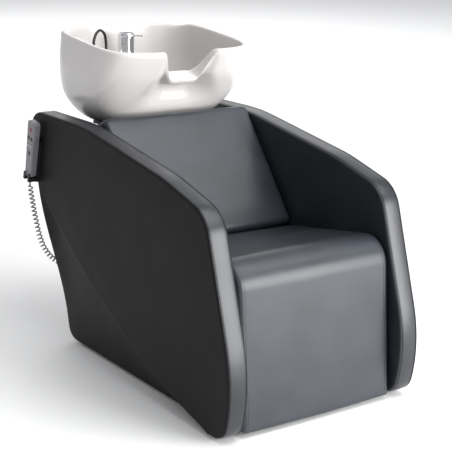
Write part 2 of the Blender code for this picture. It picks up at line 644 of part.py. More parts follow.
forkZ = (0.888, 0.900)
holder = block("shower_holder", (-0.1235, -0.088), (0.461, 0.479), (DECK_TOP + GAP, DECK_TOP + 0.020), "chrome")
hold = bmesh.new()
ringPoints = [(SHOWER[0] + 0.0180 * math.cos(math.radians(a)), SHOWER[1] + 0.0180 * math.sin(math.radians(a)))
              for a in range(0, 181, 20)]
ringPoints += [(SHOWER[0] + 0.0125 * math.cos(math.radians(a)), SHOWER[1] + 0.0125 * math.sin(math.radians(a)))
               for a in range(180, -1, -20)]
prism(hold, ringPoints, *forkZ, "Z")
combine(holder, finish("holder_fork", hold, "chrome"), "UNION")

gripTop = 0.934
turned("hand_shower_grip", [(0, 0.834), (0.0100, 0.834), (GRIP_RADIUS, 0.850), (0.0105, 0.905), (0.0085, 0.926),
                            (0.0060, gripTop), (0, gripTop)], (*SHOWER, 0), "black_plastic", 20)
turned("hand_shower_head", [(0, 0.800), (0.0200, 0.800), (0.0220, 0.803), (0.0205, 0.812), (0.0120, 0.826),
                            (0.0095, 0.8337), (0, 0.8337)], (*SHOWER, 0), "chrome", 24)


# Rear cover, handset holder and electrics

coverLow, coverHigh = 0.030, 0.668
coverOut, coverIn = 0.006, 0.018
coverPoints = [(rear_line(coverLow) - coverIn, coverLow), (rear_line(coverLow) - coverOut, coverLow),
               (rear_line(coverHigh) - coverOut, coverHigh), (rear_line(coverHigh) - coverIn, coverHigh)]
extruded("rear_cover", coverPoints, -0.2645, 0.2645, "black_plastic")
block("rear_cover_catch", (-0.315, -0.285), (rear_line(0.475) + 0.0035, rear_line(0.475) + 0.0105),
      (0.458, 0.490), "black_plastic", 0.001, 1)
block("control_box", (-0.090, 0.090), (0.060, 0.220), (0.0065, 0.070), "black_plastic", 0.004)
block("power_inlet", (0.160, 0.192), (rear_line(0.088) - coverOut + 0.004, rear_line(0.088) + 0.006),
      (0.076, 0.100), "black_plastic")

coverTilt = math.atan2(ARM_REAR_TOP[0] - ARM_REAR_FOOT[0], ARM_REAR_TOP[1] - ARM_REAR_FOOT[1])
glandFrame = (Matrix.Translation((GLAND[0], rear_line(GLAND[1]) - coverOut + 0.0005, GLAND[1]))
              @ Matrix.Rotation(-math.pi / 2 - coverTilt, 4, "X"))
gland = turned("handset_cord_gland", [(0, 0), (0.0110, 0), (0.0110, 0.003), (0.0070, 0.006), (0.0045, 0.030),
                                      (0, 0.030)], (0, 0, 0), "black_rubber", 16)
gland.matrix_world = glandFrame

handset = pivot("handset_frame", HANDSET_PLACE)
handset.rotation_euler = (HANDSET_TILT, 0, 0)
bpy.context.view_layer.update()
thick, wide, tall = HANDSET_SIZE
faceOutline = outline([(wide / 2, tall / 2, 0.012), (-wide / 2, tall / 2, 0.012), (-0.019, -tall / 2, 0.010),
                       (0.019, -tall / 2, 0.010)], 4)
case = extruded("handset_case", faceOutline, -thick / 2, 0, "grey_plastic")
backShell = extruded("handset_back", faceOutline, GAP, thick / 2, "grey_plastic")
buttons = []
for name, y, z, slot in (("power_button", 0.0, 0.064, "red_plastic"), ("raise_button", -0.010, 0.036, "black_plastic"),
                         ("lower_button", 0.010, 0.036, "black_plastic"),
                         ("massage_button", 0.0, -0.014, "black_plastic")):
    cut = rod(name + "_hole", BUTTON_RADIUS + GAP, -0.02, -0.005, (0, y, z), slot, "X", 16)
    combine(case, cut, "DIFFERENCE")
    cap = turned(name, [(0, -0.0080), (BUTTON_RADIUS, -0.0080), (BUTTON_RADIUS, -0.0118),
                        (BUTTON_RADIUS - 0.001, -0.0125), (0, -0.0125)], (0, y, z), slot, 16, "X")
    buttons += [cut, cap]
plateX = thick / 2 + GAP
cradle = block("handset_holder", (plateX, 0.0205), (-0.020, 0.020), (-0.108, 0.030), "black_plastic")
for index, y in enumerate((-0.0195, 0.0095)):
    hook = extruded(f"holder_hook_{index}",
                    [(0.015, -0.106), (0.015, -0.0935), (-thick / 2 - 0.0015, -0.0935),
                     (-thick / 2 - 0.0015, -0.080), (-thick / 2 - 0.0045, -0.080), (-thick / 2 - 0.0045, -0.106)],
                    y, y + 0.010, "black_plastic", "Y")
    combine(cradle, hook, "UNION")
    buttons.append(hook)
for piece in [case, backShell, cradle] + buttons:
    piece.parent = handset


# Cords

def smooth_path(points, spacing):
    """Points at an even spacing on a smooth curve through the route's own points."""
    route = [Vector(p) for p in points]
    route = [route[0] * 2 - route[1]] + route + [route[-1] * 2 - route[-2]]
    fine = []
    for a, b, c, d in zip(route, route[1:], route[2:], route[3:]):
        for step in range(24):
            t = step / 24
            fine.append(0.5 * (2 * b + (c - a) * t + (2 * a - 5 * b + 4 * c - d) * t * t
                               + (3 * b - a - 3 * c + d) * t ** 3))
    fine.append(route[-2])
    total = sum((b - a).length for a, b in zip(fine, fine[1:]))
    count = max(2, round(total / spacing))
    path = [fine[0]]
    walked = 0.0
    for a, b in zip(fine, fine[1:]):
        walked += (b - a).length
        if walked >= total * len(path) / count and len(path) < count:
            path.append(b)
    return path + [fine[-1]]


def tube(name, points, radius, spacing, slot, resolution=2):
    curve = bpy.data.curves.new(name, "CURVE")
    curve.dimensions = "3D"
    curve.bevel_depth = radius
    curve.bevel_resolution = resolution
    curve.use_fill_caps = True
    spline = curve.splines.new("POLY")
    path = smooth_path(points, spacing)
    spline.points.add(len(path) - 1)
    for point, place in zip(spline.points, path):
        point.co = (*place, 1)
    curve.materials.append(materials[slot])
    piece = bpy.data.objects.new(name, curve)
    bpy.context.scene.collection.objects.link(piece)
    return piece


leadTop = [(-0.351, 0.5069, 0.5285), (-0.351, 0.5100, 0.5160), (-0.3508, 0.5116, 0.5030)]
coilRoute = [(-0.3507, 0.5116, 0.5026), (-0.3500, 0.5110, 0.4850), (-0.3475, 0.5055, 0.4500),
             (-0.3440, 0.4990, 0.4100), (-0.3390, 0.4940, 0.3700), (-0.3320, 0.4930, 0.3350),
             (-0.3220, 0.4940, 0.3050), (-0.3090, 0.4950, 0.2790), (-0.2930, 0.4955, 0.2570),
             (-0.2750, 0.4950, 0.2395), (-0.2550, 0.4940, 0.2285), (-0.2370, 0.4918, 0.2250),
             (-0.2240, 0.4880, 0.2265)]
leadEnd = [(-0.2228, 0.4875, 0.2269), (-0.2130, 0.4830, 0.2305), (-0.2040, 0.4755, 0.2385),
           (-0.2003, 0.4690, 0.2428)]
tube("handset_lead_top", leadTop, LEAD_RADIUS, 0.005, "cord_grey")
tube("handset_cord_coil", coilRoute, COIL_RADIUS, 0.016, "cord_grey")
tube("handset_lead_end", leadEnd, LEAD_RADIUS, 0.005, "cord_grey")

hoseRoute = [(0.000, 0.5000, 0.8255), (0.000, 0.5000, 0.815), (0.000, 0.4940, 0.790), (-0.001, 0.478, 0.740),
             (-0.002, 0.4665, 0.670), (-0.002, 0.448, 0.590), (-0.003, 0.434, 0.510), (-0.010, 0.428, 0.465),
             (-0.036, 0.426, 0.438), (-0.062, 0.428, 0.465), (-0.070, 0.434, 0.510), (-0.071, 0.448, 0.590),
             (-0.071, 0.4665, 0.670), (-0.0715, 0.478, 0.740), (-0.072, 0.496, 0.795), (-0.072, 0.5045, 0.840),
             (-0.072, 0.505, 0.870), (-0.072, 0.505, 0.900), (-0.072, 0.505, 0.924), (-0.0735, 0.504, 0.944),
             (-0.0810, 0.5000, 0.966), (-0.1030, 0.4875, 0.980), (-0.1250, 0.4745, 0.970), (-0.1365, 0.4675, 0.951),
             (-0.138, 0.466, 0.942), (-0.138, 0.466, 0.9347)]
tube("shower_hose", hoseRoute, HOSE_RADIUS, 0.018, "black_rubber", 2)
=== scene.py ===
import json
import math
import bmesh
import bpy
from mathutils import Matrix, Vector


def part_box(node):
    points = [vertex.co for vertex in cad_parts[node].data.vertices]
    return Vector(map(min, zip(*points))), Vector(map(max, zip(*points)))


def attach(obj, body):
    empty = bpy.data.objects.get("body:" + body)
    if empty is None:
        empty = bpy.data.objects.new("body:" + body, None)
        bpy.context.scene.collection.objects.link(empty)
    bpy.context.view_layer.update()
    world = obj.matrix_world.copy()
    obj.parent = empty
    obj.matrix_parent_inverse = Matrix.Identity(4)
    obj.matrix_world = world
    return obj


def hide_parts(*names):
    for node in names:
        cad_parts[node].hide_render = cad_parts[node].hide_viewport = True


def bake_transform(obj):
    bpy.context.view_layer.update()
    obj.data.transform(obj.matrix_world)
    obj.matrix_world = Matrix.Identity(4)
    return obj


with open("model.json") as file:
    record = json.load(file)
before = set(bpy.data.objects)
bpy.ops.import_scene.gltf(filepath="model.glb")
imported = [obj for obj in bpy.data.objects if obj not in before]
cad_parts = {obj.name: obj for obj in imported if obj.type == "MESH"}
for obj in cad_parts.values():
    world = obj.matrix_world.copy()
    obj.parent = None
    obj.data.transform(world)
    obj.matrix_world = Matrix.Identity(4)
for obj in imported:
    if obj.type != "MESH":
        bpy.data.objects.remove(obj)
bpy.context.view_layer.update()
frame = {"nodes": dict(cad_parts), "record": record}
nodes = frame["nodes"]
print("frame loaded")


# small tools

def linear(hexColour):
    parts = [int(hexColour[i:i + 2], 16) / 255 for i in (1, 3, 5)]
    return tuple(c / 12.92 if c <= 0.04045 else ((c + 0.055) / 1.055) ** 2.4 for c in parts) + (1.0,)


def addNode(tree, kind, sockets=None, stops=(), into=None, output=0, **settings):
    # one node with its settings, the links that feed it, and the socket that its output feeds
    made = tree.nodes.new("ShaderNode" + kind)
    for setting, value in settings.items():
        setattr(made, setting, value)
    for socket, value in (sockets or {}).items():
        if isinstance(value, bpy.types.NodeSocket):
            tree.links.new(value, made.inputs[socket])
        else:
            made.inputs[socket].default_value = value
    for count, (place, colour) in enumerate(stops):
        element = made.color_ramp.elements[count] if count < 2 else made.color_ramp.elements.new(place)
        element.position = place
        element.color = linear(colour) if isinstance(colour, str) else (colour, colour, colour, 1.0)
    if into:
        tree.links.new(made.outputs[output], into)
    return made.outputs[output]


def newMaterial(name, **shader):
    made = bpy.data.materials.new(name)
    made.use_nodes = True
    base = made.node_tree.nodes["Principled BSDF"]
    for socket, value in shader.items():
        base.inputs[socket.replace("_", " ")].default_value = value
    return made, made.node_tree, base, addNode(made.node_tree, "TexCoord", output="Object")


def mottle(tree, base, place, scale, detail, stops):
    # an uneven base colour, in patches 1 / scale metres wide
    patches = addNode(tree, "TexNoise", {"Vector": place, "Scale": scale, "Detail": detail})
    addNode(tree, "ValToRGB", {0: patches}, stops, base.inputs["Base Color"])
    return patches


def deselect():
    if bpy.context.object and bpy.context.object.mode != "OBJECT":
        bpy.ops.object.mode_set(mode="OBJECT")
    bpy.ops.object.select_all(action="DESELECT")


def pick(piece):
    deselect()
    piece.select_set(True)
    bpy.context.view_layer.objects.active = piece


def settle(piece):
    pick(piece)
    bpy.ops.object.transform_apply(location=True, rotation=True, scale=True)


def fromMesh(name, bm, material, angle=35):
    bmesh.ops.recalc_face_normals(bm, faces=bm.faces)
    mesh = bpy.data.meshes.new(name)
    bm.to_mesh(mesh)
    bm.free()
    mesh.materials.append(material)
    piece = bpy.data.objects.new(name, mesh)
    bpy.context.scene.collection.objects.link(piece)
    pick(piece)
    bpy.ops.object.shade_smooth_by_angle(angle=math.radians(angle))
    return piece


def withModifier(piece, kind, **settings):
    pick(piece)
    made = piece.modifiers.new(kind.lower(), kind)
    for setting, value in settings.items():
        setattr(made, setting, value)
    bpy.ops.object.modifier_apply(modifier=made.name)
    return piece


def carve(piece, tool, operation="DIFFERENCE"):
    withModifier(piece, "BOOLEAN", operation=operation, solver="EXACT", object=tool)
    bpy.data.objects.remove(tool, do_unlink=True)
    return piece


def selectWhere(piece, test, kind="FACE"):
    pick(piece)
    bpy.ops.object.mode_set(mode="EDIT")
    bpy.ops.mesh.select_mode(type=kind)
    bpy.ops.mesh.select_all(action="DESELECT")
    bm = bmesh.from_edit_mesh(piece.data)
    bm.normal_update()
    for item in {"FACE": bm.faces, "EDGE": bm.edges, "VERT": bm.verts}[kind]:
        item.select = bool(test(item))
    bm.select_flush_mode()
    bmesh.update_edit_mesh(piece.data)


def dress(piece, material, body, replaced=(), angle=35):
    piece.data.materials.clear()
    piece.data.materials.append(material)
    if piece.type == "MESH":
        pick(piece)
        bpy.ops.object.shade_smooth_by_angle(angle=math.radians(angle))
    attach(piece, body)
    for node in replaced:
        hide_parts(node)
    return piece


def box(name, low, high, sideBevel=0.0, sideAxis=0, edgeBevel=0.0, segments=3):
    # a cube whose four edges along one axis are rounded first, then all its sharp edges
    deselect()
    centre = (Vector(low) + Vector(high)) / 2
    bpy.ops.mesh.primitive_cube_add(size=1, location=centre)
    piece = bpy.context.object
    piece.name = name
    piece.scale = Vector(high) - Vector(low)
    settle(piece)
    if sideBevel:
        selectWhere(piece, lambda e: abs((e.verts[0].co - e.verts[1].co).normalized()[sideAxis]) > 0.99, "EDGE")
        bpy.ops.mesh.bevel(offset=sideBevel, segments=6, affect="EDGES")
        bpy.ops.object.mode_set(mode="OBJECT")
    if edgeBevel:
        selectWhere(piece, lambda e: e.calc_face_angle(0) > 0.7, "EDGE")
        bpy.ops.mesh.bevel(offset=edgeBevel, segments=segments, affect="EDGES")
        bpy.ops.object.mode_set(mode="OBJECT")
    return piece


def spun(name, profile, place=(0, 0, 0), steps=64, turn=None):
    # a (radius, height) outline drawn as edges and spun in edit mode
    mesh = bpy.data.meshes.new(name)
    mesh.from_pydata([(radius, 0, height) for radius, height in profile],
                     [(i, i + 1) for i in range(len(profile) - 1)], [])
    piece = bpy.data.objects.new(name, mesh)
    bpy.context.scene.collection.objects.link(piece)
    pick(piece)
    bpy.ops.object.mode_set(mode="EDIT")
    bpy.ops.mesh.select_all(action="SELECT")
    bpy.ops.mesh.spin(steps=steps, angle=math.tau, center=(0, 0, 0), axis=(0, 0, 1))
    bpy.ops.mesh.select_all(action="SELECT")
    bpy.ops.mesh.remove_doubles(threshold=0.00001)
    bpy.ops.mesh.normals_make_consistent(inside=False)
    bpy.ops.object.mode_set(mode="OBJECT")
    piece.data.transform(Matrix.Translation(place) @ (turn or Matrix.Identity(4)))
    return piece


def extrudedSide(name, points, low, high, bevel=0.0, segments=3):
    # an outline in the side view, filled and drawn out across the seat in edit mode
    mesh = bpy.data.meshes.new(name)
    mesh.from_pydata([(low, y, z) for y, z in points], [], [list(range(len(points)))])
    piece = bpy.data.objects.new(name, mesh)
    bpy.context.scene.collection.objects.link(piece)
    pick(piece)
    bpy.ops.object.mode_set(mode="EDIT")
    bpy.ops.mesh.select_all(action="SELECT")
    bpy.ops.mesh.extrude_region_move(TRANSFORM_OT_translate={"value": (high - low, 0, 0)})
    bpy.ops.mesh.select_all(action="SELECT")
    bpy.ops.mesh.normals_make_consistent(inside=False)
    bpy.ops.object.mode_set(mode="OBJECT")
    if bevel:
        selectWhere(piece, lambda e: e.calc_face_angle(0) > 0.6, "EDGE")
        bpy.ops.mesh.bevel(offset=bevel, segments=segments, affect="EDGES")
        bpy.ops.object.mode_set(mode="OBJECT")
    return piece


def rounded(corners, steps=8):
    # the points of a polygon whose corners (u, v, radius) are rounded
    points = []
    for index, (u, v, radius) in enumerate(corners):
        here = Vector((u, v))
        before = (Vector(corners[index - 1][:2]) - here).normalized()
        after = (Vector(corners[(index + 1) % len(corners)][:2]) - here).normalized()
        if radius <= 0:
            points.append(here)
            continue
        half = before.angle(after) / 2
        centre = here + (before + after).normalized() * radius / math.sin(half)
        start = here + before * radius / math.tan(half) - centre
        turn = start.angle_signed(here + after * radius / math.tan(half) - centre)
        points += [centre + Matrix.Rotation(-turn * step / steps, 2) @ start for step in range(steps + 1)]
    return points


def evenly(points, count):
    # the same line, walked in even steps
    lengths = [0.0]
    for a, b in zip(points, points[1:]):
        lengths.append(lengths[-1] + (b - a).length)
    made = []
    spot = 0
    for index in range(count + 1):
        goal = lengths[-1] * index / count
        while spot < len(points) - 2 and lengths[spot + 1] < goal:
            spot += 1
        span = lengths[spot + 1] - lengths[spot]
        made.append(points[spot].lerp(points[spot + 1], (goal - lengths[spot]) / span if span else 0))
    return made


def ease(value, low, high):
    share = min(1.0, max(0.0, (value - low) / (high - low)))
    return share * share * (3 - 2 * share)


def loft(rings, closeEnds=True):
    bm = bmesh.new()
    loops = [[bm.verts.new(place) for place in ring] for ring in rings]
    for lower, upper in zip(loops, loops[1:]):
        for i in range(len(lower)):
            j = (i + 1) % len(lower)
            bm.faces.new((lower[i], lower[j], upper[j], upper[i]))
    if closeEnds:
        for loop in (loops[0], loops[-1]):
            middle = bm.verts.new(sum((v.co for v in loop), Vector()) / len(loop))
            for i in range(len(loop)):
                bm.faces.new((loop[i], loop[(i + 1) % len(loop)], middle))
    return bm


# camera, at the showroom view: to the left of the seat and a little above it

cameraLook = {"place": (-2.0253, -2.9905, 1.3873), "yaw": 0.60852, "pitch": 0.25909, "roll": 0.01496,
              "lens": 97.96}


def placeCamera():
    yaw, pitch, roll = (cameraLook[key] for key in ("yaw", "pitch", "roll"))
    ahead = Vector((math.sin(yaw) * math.cos(pitch), math.cos(yaw) * math.cos(pitch), -math.sin(pitch)))
    level = Vector((math.cos(yaw), -math.sin(yaw), 0))
    above = level.cross(ahead)
    right = level * math.cos(roll) + above * math.sin(roll)
    up = above * math.cos(roll) - level * math.sin(roll)
    data = bpy.data.cameras.new("showroom_camera")
    data.lens = cameraLook["lens"]
    data.sensor_width = 36
    data.clip_end = 60
    camera = bpy.data.objects.new("showroom_camera", data)
    bpy.context.scene.collection.objects.link(camera)
    camera.matrix_world = Matrix.Translation(cameraLook["place"]) @ Matrix(
        (right, up, -ahead)).transposed().to_4x4()
    bpy.context.scene.camera = camera


placeCamera()
print("camera placed")


# cords: the curly handset cord and the shower hose

cordLook = {"wire": 0.0048, "coil": 0.0185, "turns": 25, "hose": 0.009}
leadTop = [(-0.351, 0.5069, 0.5285), (-0.351, 0.51, 0.516), (-0.3508, 0.5116, 0.503)]
coilRoute = [(-0.3507, 0.5116, 0.5026), (-0.35, 0.511, 0.485), (-0.3475, 0.5055, 0.45),
             (-0.344, 0.499, 0.41), (-0.339, 0.494, 0.37), (-0.332, 0.493, 0.335),
             (-0.322, 0.494, 0.305), (-0.309, 0.495, 0.279), (-0.293, 0.4955, 0.257),
             (-0.275, 0.495, 0.2395), (-0.255, 0.494, 0.2285), (-0.237, 0.4918, 0.225),
             (-0.224, 0.488, 0.2265)]
leadEnd = [(-0.2228, 0.4875, 0.2269), (-0.213, 0.483, 0.2305), (-0.204, 0.4755, 0.2385),
           (-0.2003, 0.469, 0.2428)]
hoseRoute = [(0.000, 0.5, 0.8255), (0.000, 0.5, 0.815), (0.000, 0.494, 0.79), (-0.001, 0.478, 0.74),
             (-0.002, 0.4665, 0.67), (-0.002, 0.448, 0.59), (-0.003, 0.434, 0.51), (-0.01, 0.428, 0.465),
             (-0.036, 0.426, 0.438), (-0.062, 0.428, 0.465), (-0.07, 0.434, 0.51), (-0.071, 0.448, 0.59),
             (-0.071, 0.4665, 0.67), (-0.0715, 0.478, 0.74), (-0.072, 0.496, 0.795), (-0.072, 0.5045, 0.84),
             (-0.072, 0.505, 0.87), (-0.072, 0.505, 0.9), (-0.072, 0.505, 0.924), (-0.0735, 0.504, 0.944),
             (-0.081, 0.5, 0.966), (-0.103, 0.4875, 0.98), (-0.125, 0.4745, 0.97), (-0.1365, 0.4675, 0.951),
             (-0.138, 0.466, 0.942), (-0.138, 0.466, 0.9347)]


def smoothLine(points, count):
    route = [Vector(p) for p in points]
    route = [route[0] * 2 - route[1]] + route + [route[-1] * 2 - route[-2]]
    fine = []
    for a, b, c, d in zip(route, route[1:], route[2:], route[3:]):
        for step in range(24):
            t = step / 24
            fine.append(0.5 * (2 * b + (c - a) * t + (2 * a - 5 * b + 4 * c - d) * t * t
                               + (3 * b - a - 3 * c + d) * t ** 3))
    return evenly(fine + [route[-2]], count)


def cordCurve(name, points, radius, material, resolution=4):
    curve = bpy.data.curves.new(name, "CURVE")
    curve.dimensions = "3D"
    curve.bevel_depth = radius
    curve.bevel_resolution = resolution
    curve.use_fill_caps = True
    spline = curve.splines.new("POLY")
    spline.points.add(len(points) - 1)
    for point, place in zip(spline.points, points):
        point.co = (*place, 1)
    curve.materials.append(material)
    piece = bpy.data.objects.new(name, curve)
    bpy.context.scene.collection.objects.link(piece)
    return piece


def curlyPath():
    # one wire: straight down from the handset, wound along the route, and straight into the gland
    line = smoothLine(coilRoute, 900)
    radius = (cordLook["coil"] - cordLook["wire"]) / 2
    across = Vector((1, 0, 0))
    path = []
    for index, place in enumerate(line):
        ahead = (line[min(index + 1, 900)] - line[max(index - 1, 0)]).normalized()
        across = (across - ahead * across.dot(ahead)).normalized()
        side = ahead.cross(across)
        turn = math.tau * cordLook["turns"] * index / 900
        reach = radius * ease(index, 0, 30) * ease(900 - index, 0, 30)
        path.append(place + (across * math.cos(turn) + side * math.sin(turn)) * reach)
    return smoothLine(leadTop, 6)[:-1] + path + smoothLine(leadEnd, 10)[1:]


# moulded PVC sleeve of the curly cord: warm grey, a little dusty in the folds
cordPvc, tree, base, place = newMaterial("cord_pvc", Roughness=0.42, IOR=1.53)
mottle(tree, base, place, 45.0, 4.0, [(0.35, "#7f7a73"), (0.65, "#98938b")])
skin = addNode(tree, "TexNoise", {"Vector": place, "Scale": 2200.0})
addNode(tree, "Bump", {"Height": skin, "Distance": 0.00008}, into=base.inputs["Normal"])

# PVC shower hose: glossy black with a woven ply that prints through the skin
hosePvc, tree, base, place = newMaterial("hose_pvc", Roughness=0.28, IOR=1.53)
plyOne = addNode(tree, "TexWave", {"Vector": place, "Scale": 90.0, "Distortion": 0.6}, wave_type="BANDS",
                 bands_direction="DIAGONAL")
addNode(tree, "ValToRGB", {0: plyOne}, [(0.2, "#0c0c0e"), (0.8, "#19191c")], base.inputs["Base Color"])
addNode(tree, "Bump", {"Height": plyOne, "Distance": 0.00025, "Strength": 0.7}, into=base.inputs["Normal"])

wire = curlyPath()
curlyCord = cordCurve("handset_curly_cord", wire, cordLook["wire"] / 2, cordPvc, 3)
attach(curlyCord, "frame")
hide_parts("handset_lead_top", "handset_cord_coil", "handset_lead_end")
hoseLine = smoothLine(hoseRoute, 160)
hose = cordCurve("shower_hose_tube", hoseLine, cordLook["hose"] / 2, hosePvc, 6)
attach(hose, "basin_unit")
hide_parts("shower_hose")


# leather: upholstery vinyl pressed with a fine pebble grain, satin, near black with a cool sheen

def upholstery(name, dark, light, shine, wave=0.0009, grain=0.0016):
    made, tree, base, place = newMaterial(name, Roughness=shine, IOR=1.5)
    hand = addNode(tree, "TexNoise", {"Vector": place, "Scale": 9.0, "Detail": 5.0})
    pebble = addNode(tree, "TexVoronoi", {"Vector": place, "Scale": 1 / grain, "Randomness": 0.9},
                     feature="SMOOTH_F1")
    shade = addNode(tree, "ValToRGB", {0: hand}, [(0.3, dark), (0.7, light)])
    pits = addNode(tree, "ValToRGB", {0: pebble}, [(0.05, 0.35), (0.6, 0.0)])
    addNode(tree, "Mix", {0: pits, 6: shade, 7: linear(light)}, (), base.inputs["Base Color"], 2, data_type="RGBA")
    addNode(tree, "ValToRGB", {0: hand}, [(0.3, shine - 0.02), (0.7, shine + 0.03)], base.inputs["Roughness"])
    # soft hand-sized waves where the cover is drawn over foam, then the grain on top
    soft = addNode(tree, "TexNoise", {"Vector": place, "Scale": 14.0, "Detail": 1.0})
    drawn = addNode(tree, "Bump", {"Height": soft, "Distance": wave, "Strength": 0.6})
    addNode(tree, "Bump", {"Height": pebble, "Distance": 0.00022, "Strength": 0.55, "Normal": drawn},
            into=base.inputs["Normal"])
    return made


armVinyl = upholstery("arm_vinyl", "#1f2126", "#282b30", 0.34)
shadedSideVinyl = upholstery("shaded_side_vinyl", "#0c0c0e", "#0f0f11", 0.55, 0.0003)     # the outer panels have a flatter cover; their darker colour is painted shade, a shaded copy of the arm vinyl
shadedSideVinyl.node_tree.nodes["Principled BSDF"].inputs["Specular IOR Level"].default_value = 0.18
padVinyl = upholstery("pad_vinyl", "#24272d", "#2e3239", 0.36)
threadNylon, tree, base, place = newMaterial("thread_nylon", Roughness=0.5, IOR=1.53)   # bonded upholstery thread
ply = addNode(tree, "TexWave", {"Vector": place, "Scale": 900.0}, bands_direction="DIAGONAL")
addNode(tree, "ValToRGB", {0: ply}, [(0.2, "#232428"), (0.8, "#3a3b40")], base.inputs["Base Color"])
addNode(tree, "Bump", {"Height": ply, "Distance": 0.0001}, into=base.inputs["Normal"])


def stitches(name, lines, body, gap=0.0052, length=0.0038, radius=0.00045):
    bm = bmesh.new()
    for line, outward in lines:
        count = max(2, round(sum((b - a).length for a, b in zip(line, line[1:])) / gap))
        spots = evenly(line, count)
        for spot, after in zip(spots, spots[1:]):
            ahead = (after - spot).normalized()
            face = outward(spot) if callable(outward) else Vector(outward)
            side = ahead.cross(face).normalized()
            up = side.cross(ahead).normalized()
            loops = []
            for share, size in ((-0.5, 0.45), (-0.32, 1.0), (0.32, 1.0), (0.5, 0.45)):
                middle = spot + ahead * share * length + up * (0.0002 if size == 1.0 else -0.0002)
                loops.append([bm.verts.new(middle + (side * math.cos(a) + up * math.sin(a)) * radius * size)
                              for a in (math.tau * i / 6 for i in range(6))])
            for lower, upper in zip(loops, loops[1:]):
                for i in range(6):
                    bm.faces.new((lower[i], lower[(i + 1) % 6], upper[(i + 1) % 6], upper[i]))
            bm.faces.new(loops[0][::-1])
            bm.faces.new(loops[-1])
    piece = fromMesh(name, bm, threadNylon)
    if body:
        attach(piece, body)
    return piece


# arms: tight covers with a welted seam near both faces, and a raised panel over the tapered rear facet

armLook = {"half": 0.33, "inner": 0.266, "clear": 0.01, "top": 0.735, "rearFoot": (0.3855, 0.01),
           "rearTop": (0.554, 0.735), "facet": 0.0485, "creaseStart": (0.49, 0.5),
           "creaseBend": (0.039, 0.117), "creaseEnd": (-0.489, 0.011), "seam": 0.006, "lip": 0.011,
           "crown": 0.003}


def rearLine(height):
    (lowY, lowZ), (highY, highZ) = armLook["rearFoot"], armLook["rearTop"]
    return lowY + (highY - lowY) * (height - lowZ) / (highZ - lowZ)


def armLines():
    start, bend, end, clear = (armLook[key] for key in ("creaseStart", "creaseBend", "creaseEnd", "clear"))
    start = (rearLine(start[1]), start[1])
    edge = rounded([(*start, 0), (*armLook["rearTop"], 0.062), (0.2, armLook["top"], 0.9),
                    (-0.25, 0.664, 0.7), (-0.461, 0.607, 0.105), (-0.594, 0.17, 0.42),
                    (-0.556, clear, 0.06), (end[0], clear, 0)], 14)
    lower = rounded([(end[0], clear, 0), (*armLook["rearFoot"], 0.05), (*start, 0)], 10)
    crease = [Vector(end) * (1 - t) ** 2 + Vector(bend) * 2 * t * (1 - t) + Vector(start) * t * t
              for t in (i / 60 for i in range(61))]
    return evenly(edge, 300), evenly(lower, 150), evenly(crease, 150)


def outwardNormals(ring):
    count = len(ring)
    made = []
    for i in range(count):
        along = ring[(i + 1) % count] - ring[i - 1]
        made.append(Vector((along.y, -along.x)).normalized())
    centre = sum(ring, Vector((0, 0))) / count
    turned = sum((p - centre).dot(n) for p, n in zip(ring, made)) > 0
    return made if turned else [-n for n in made]


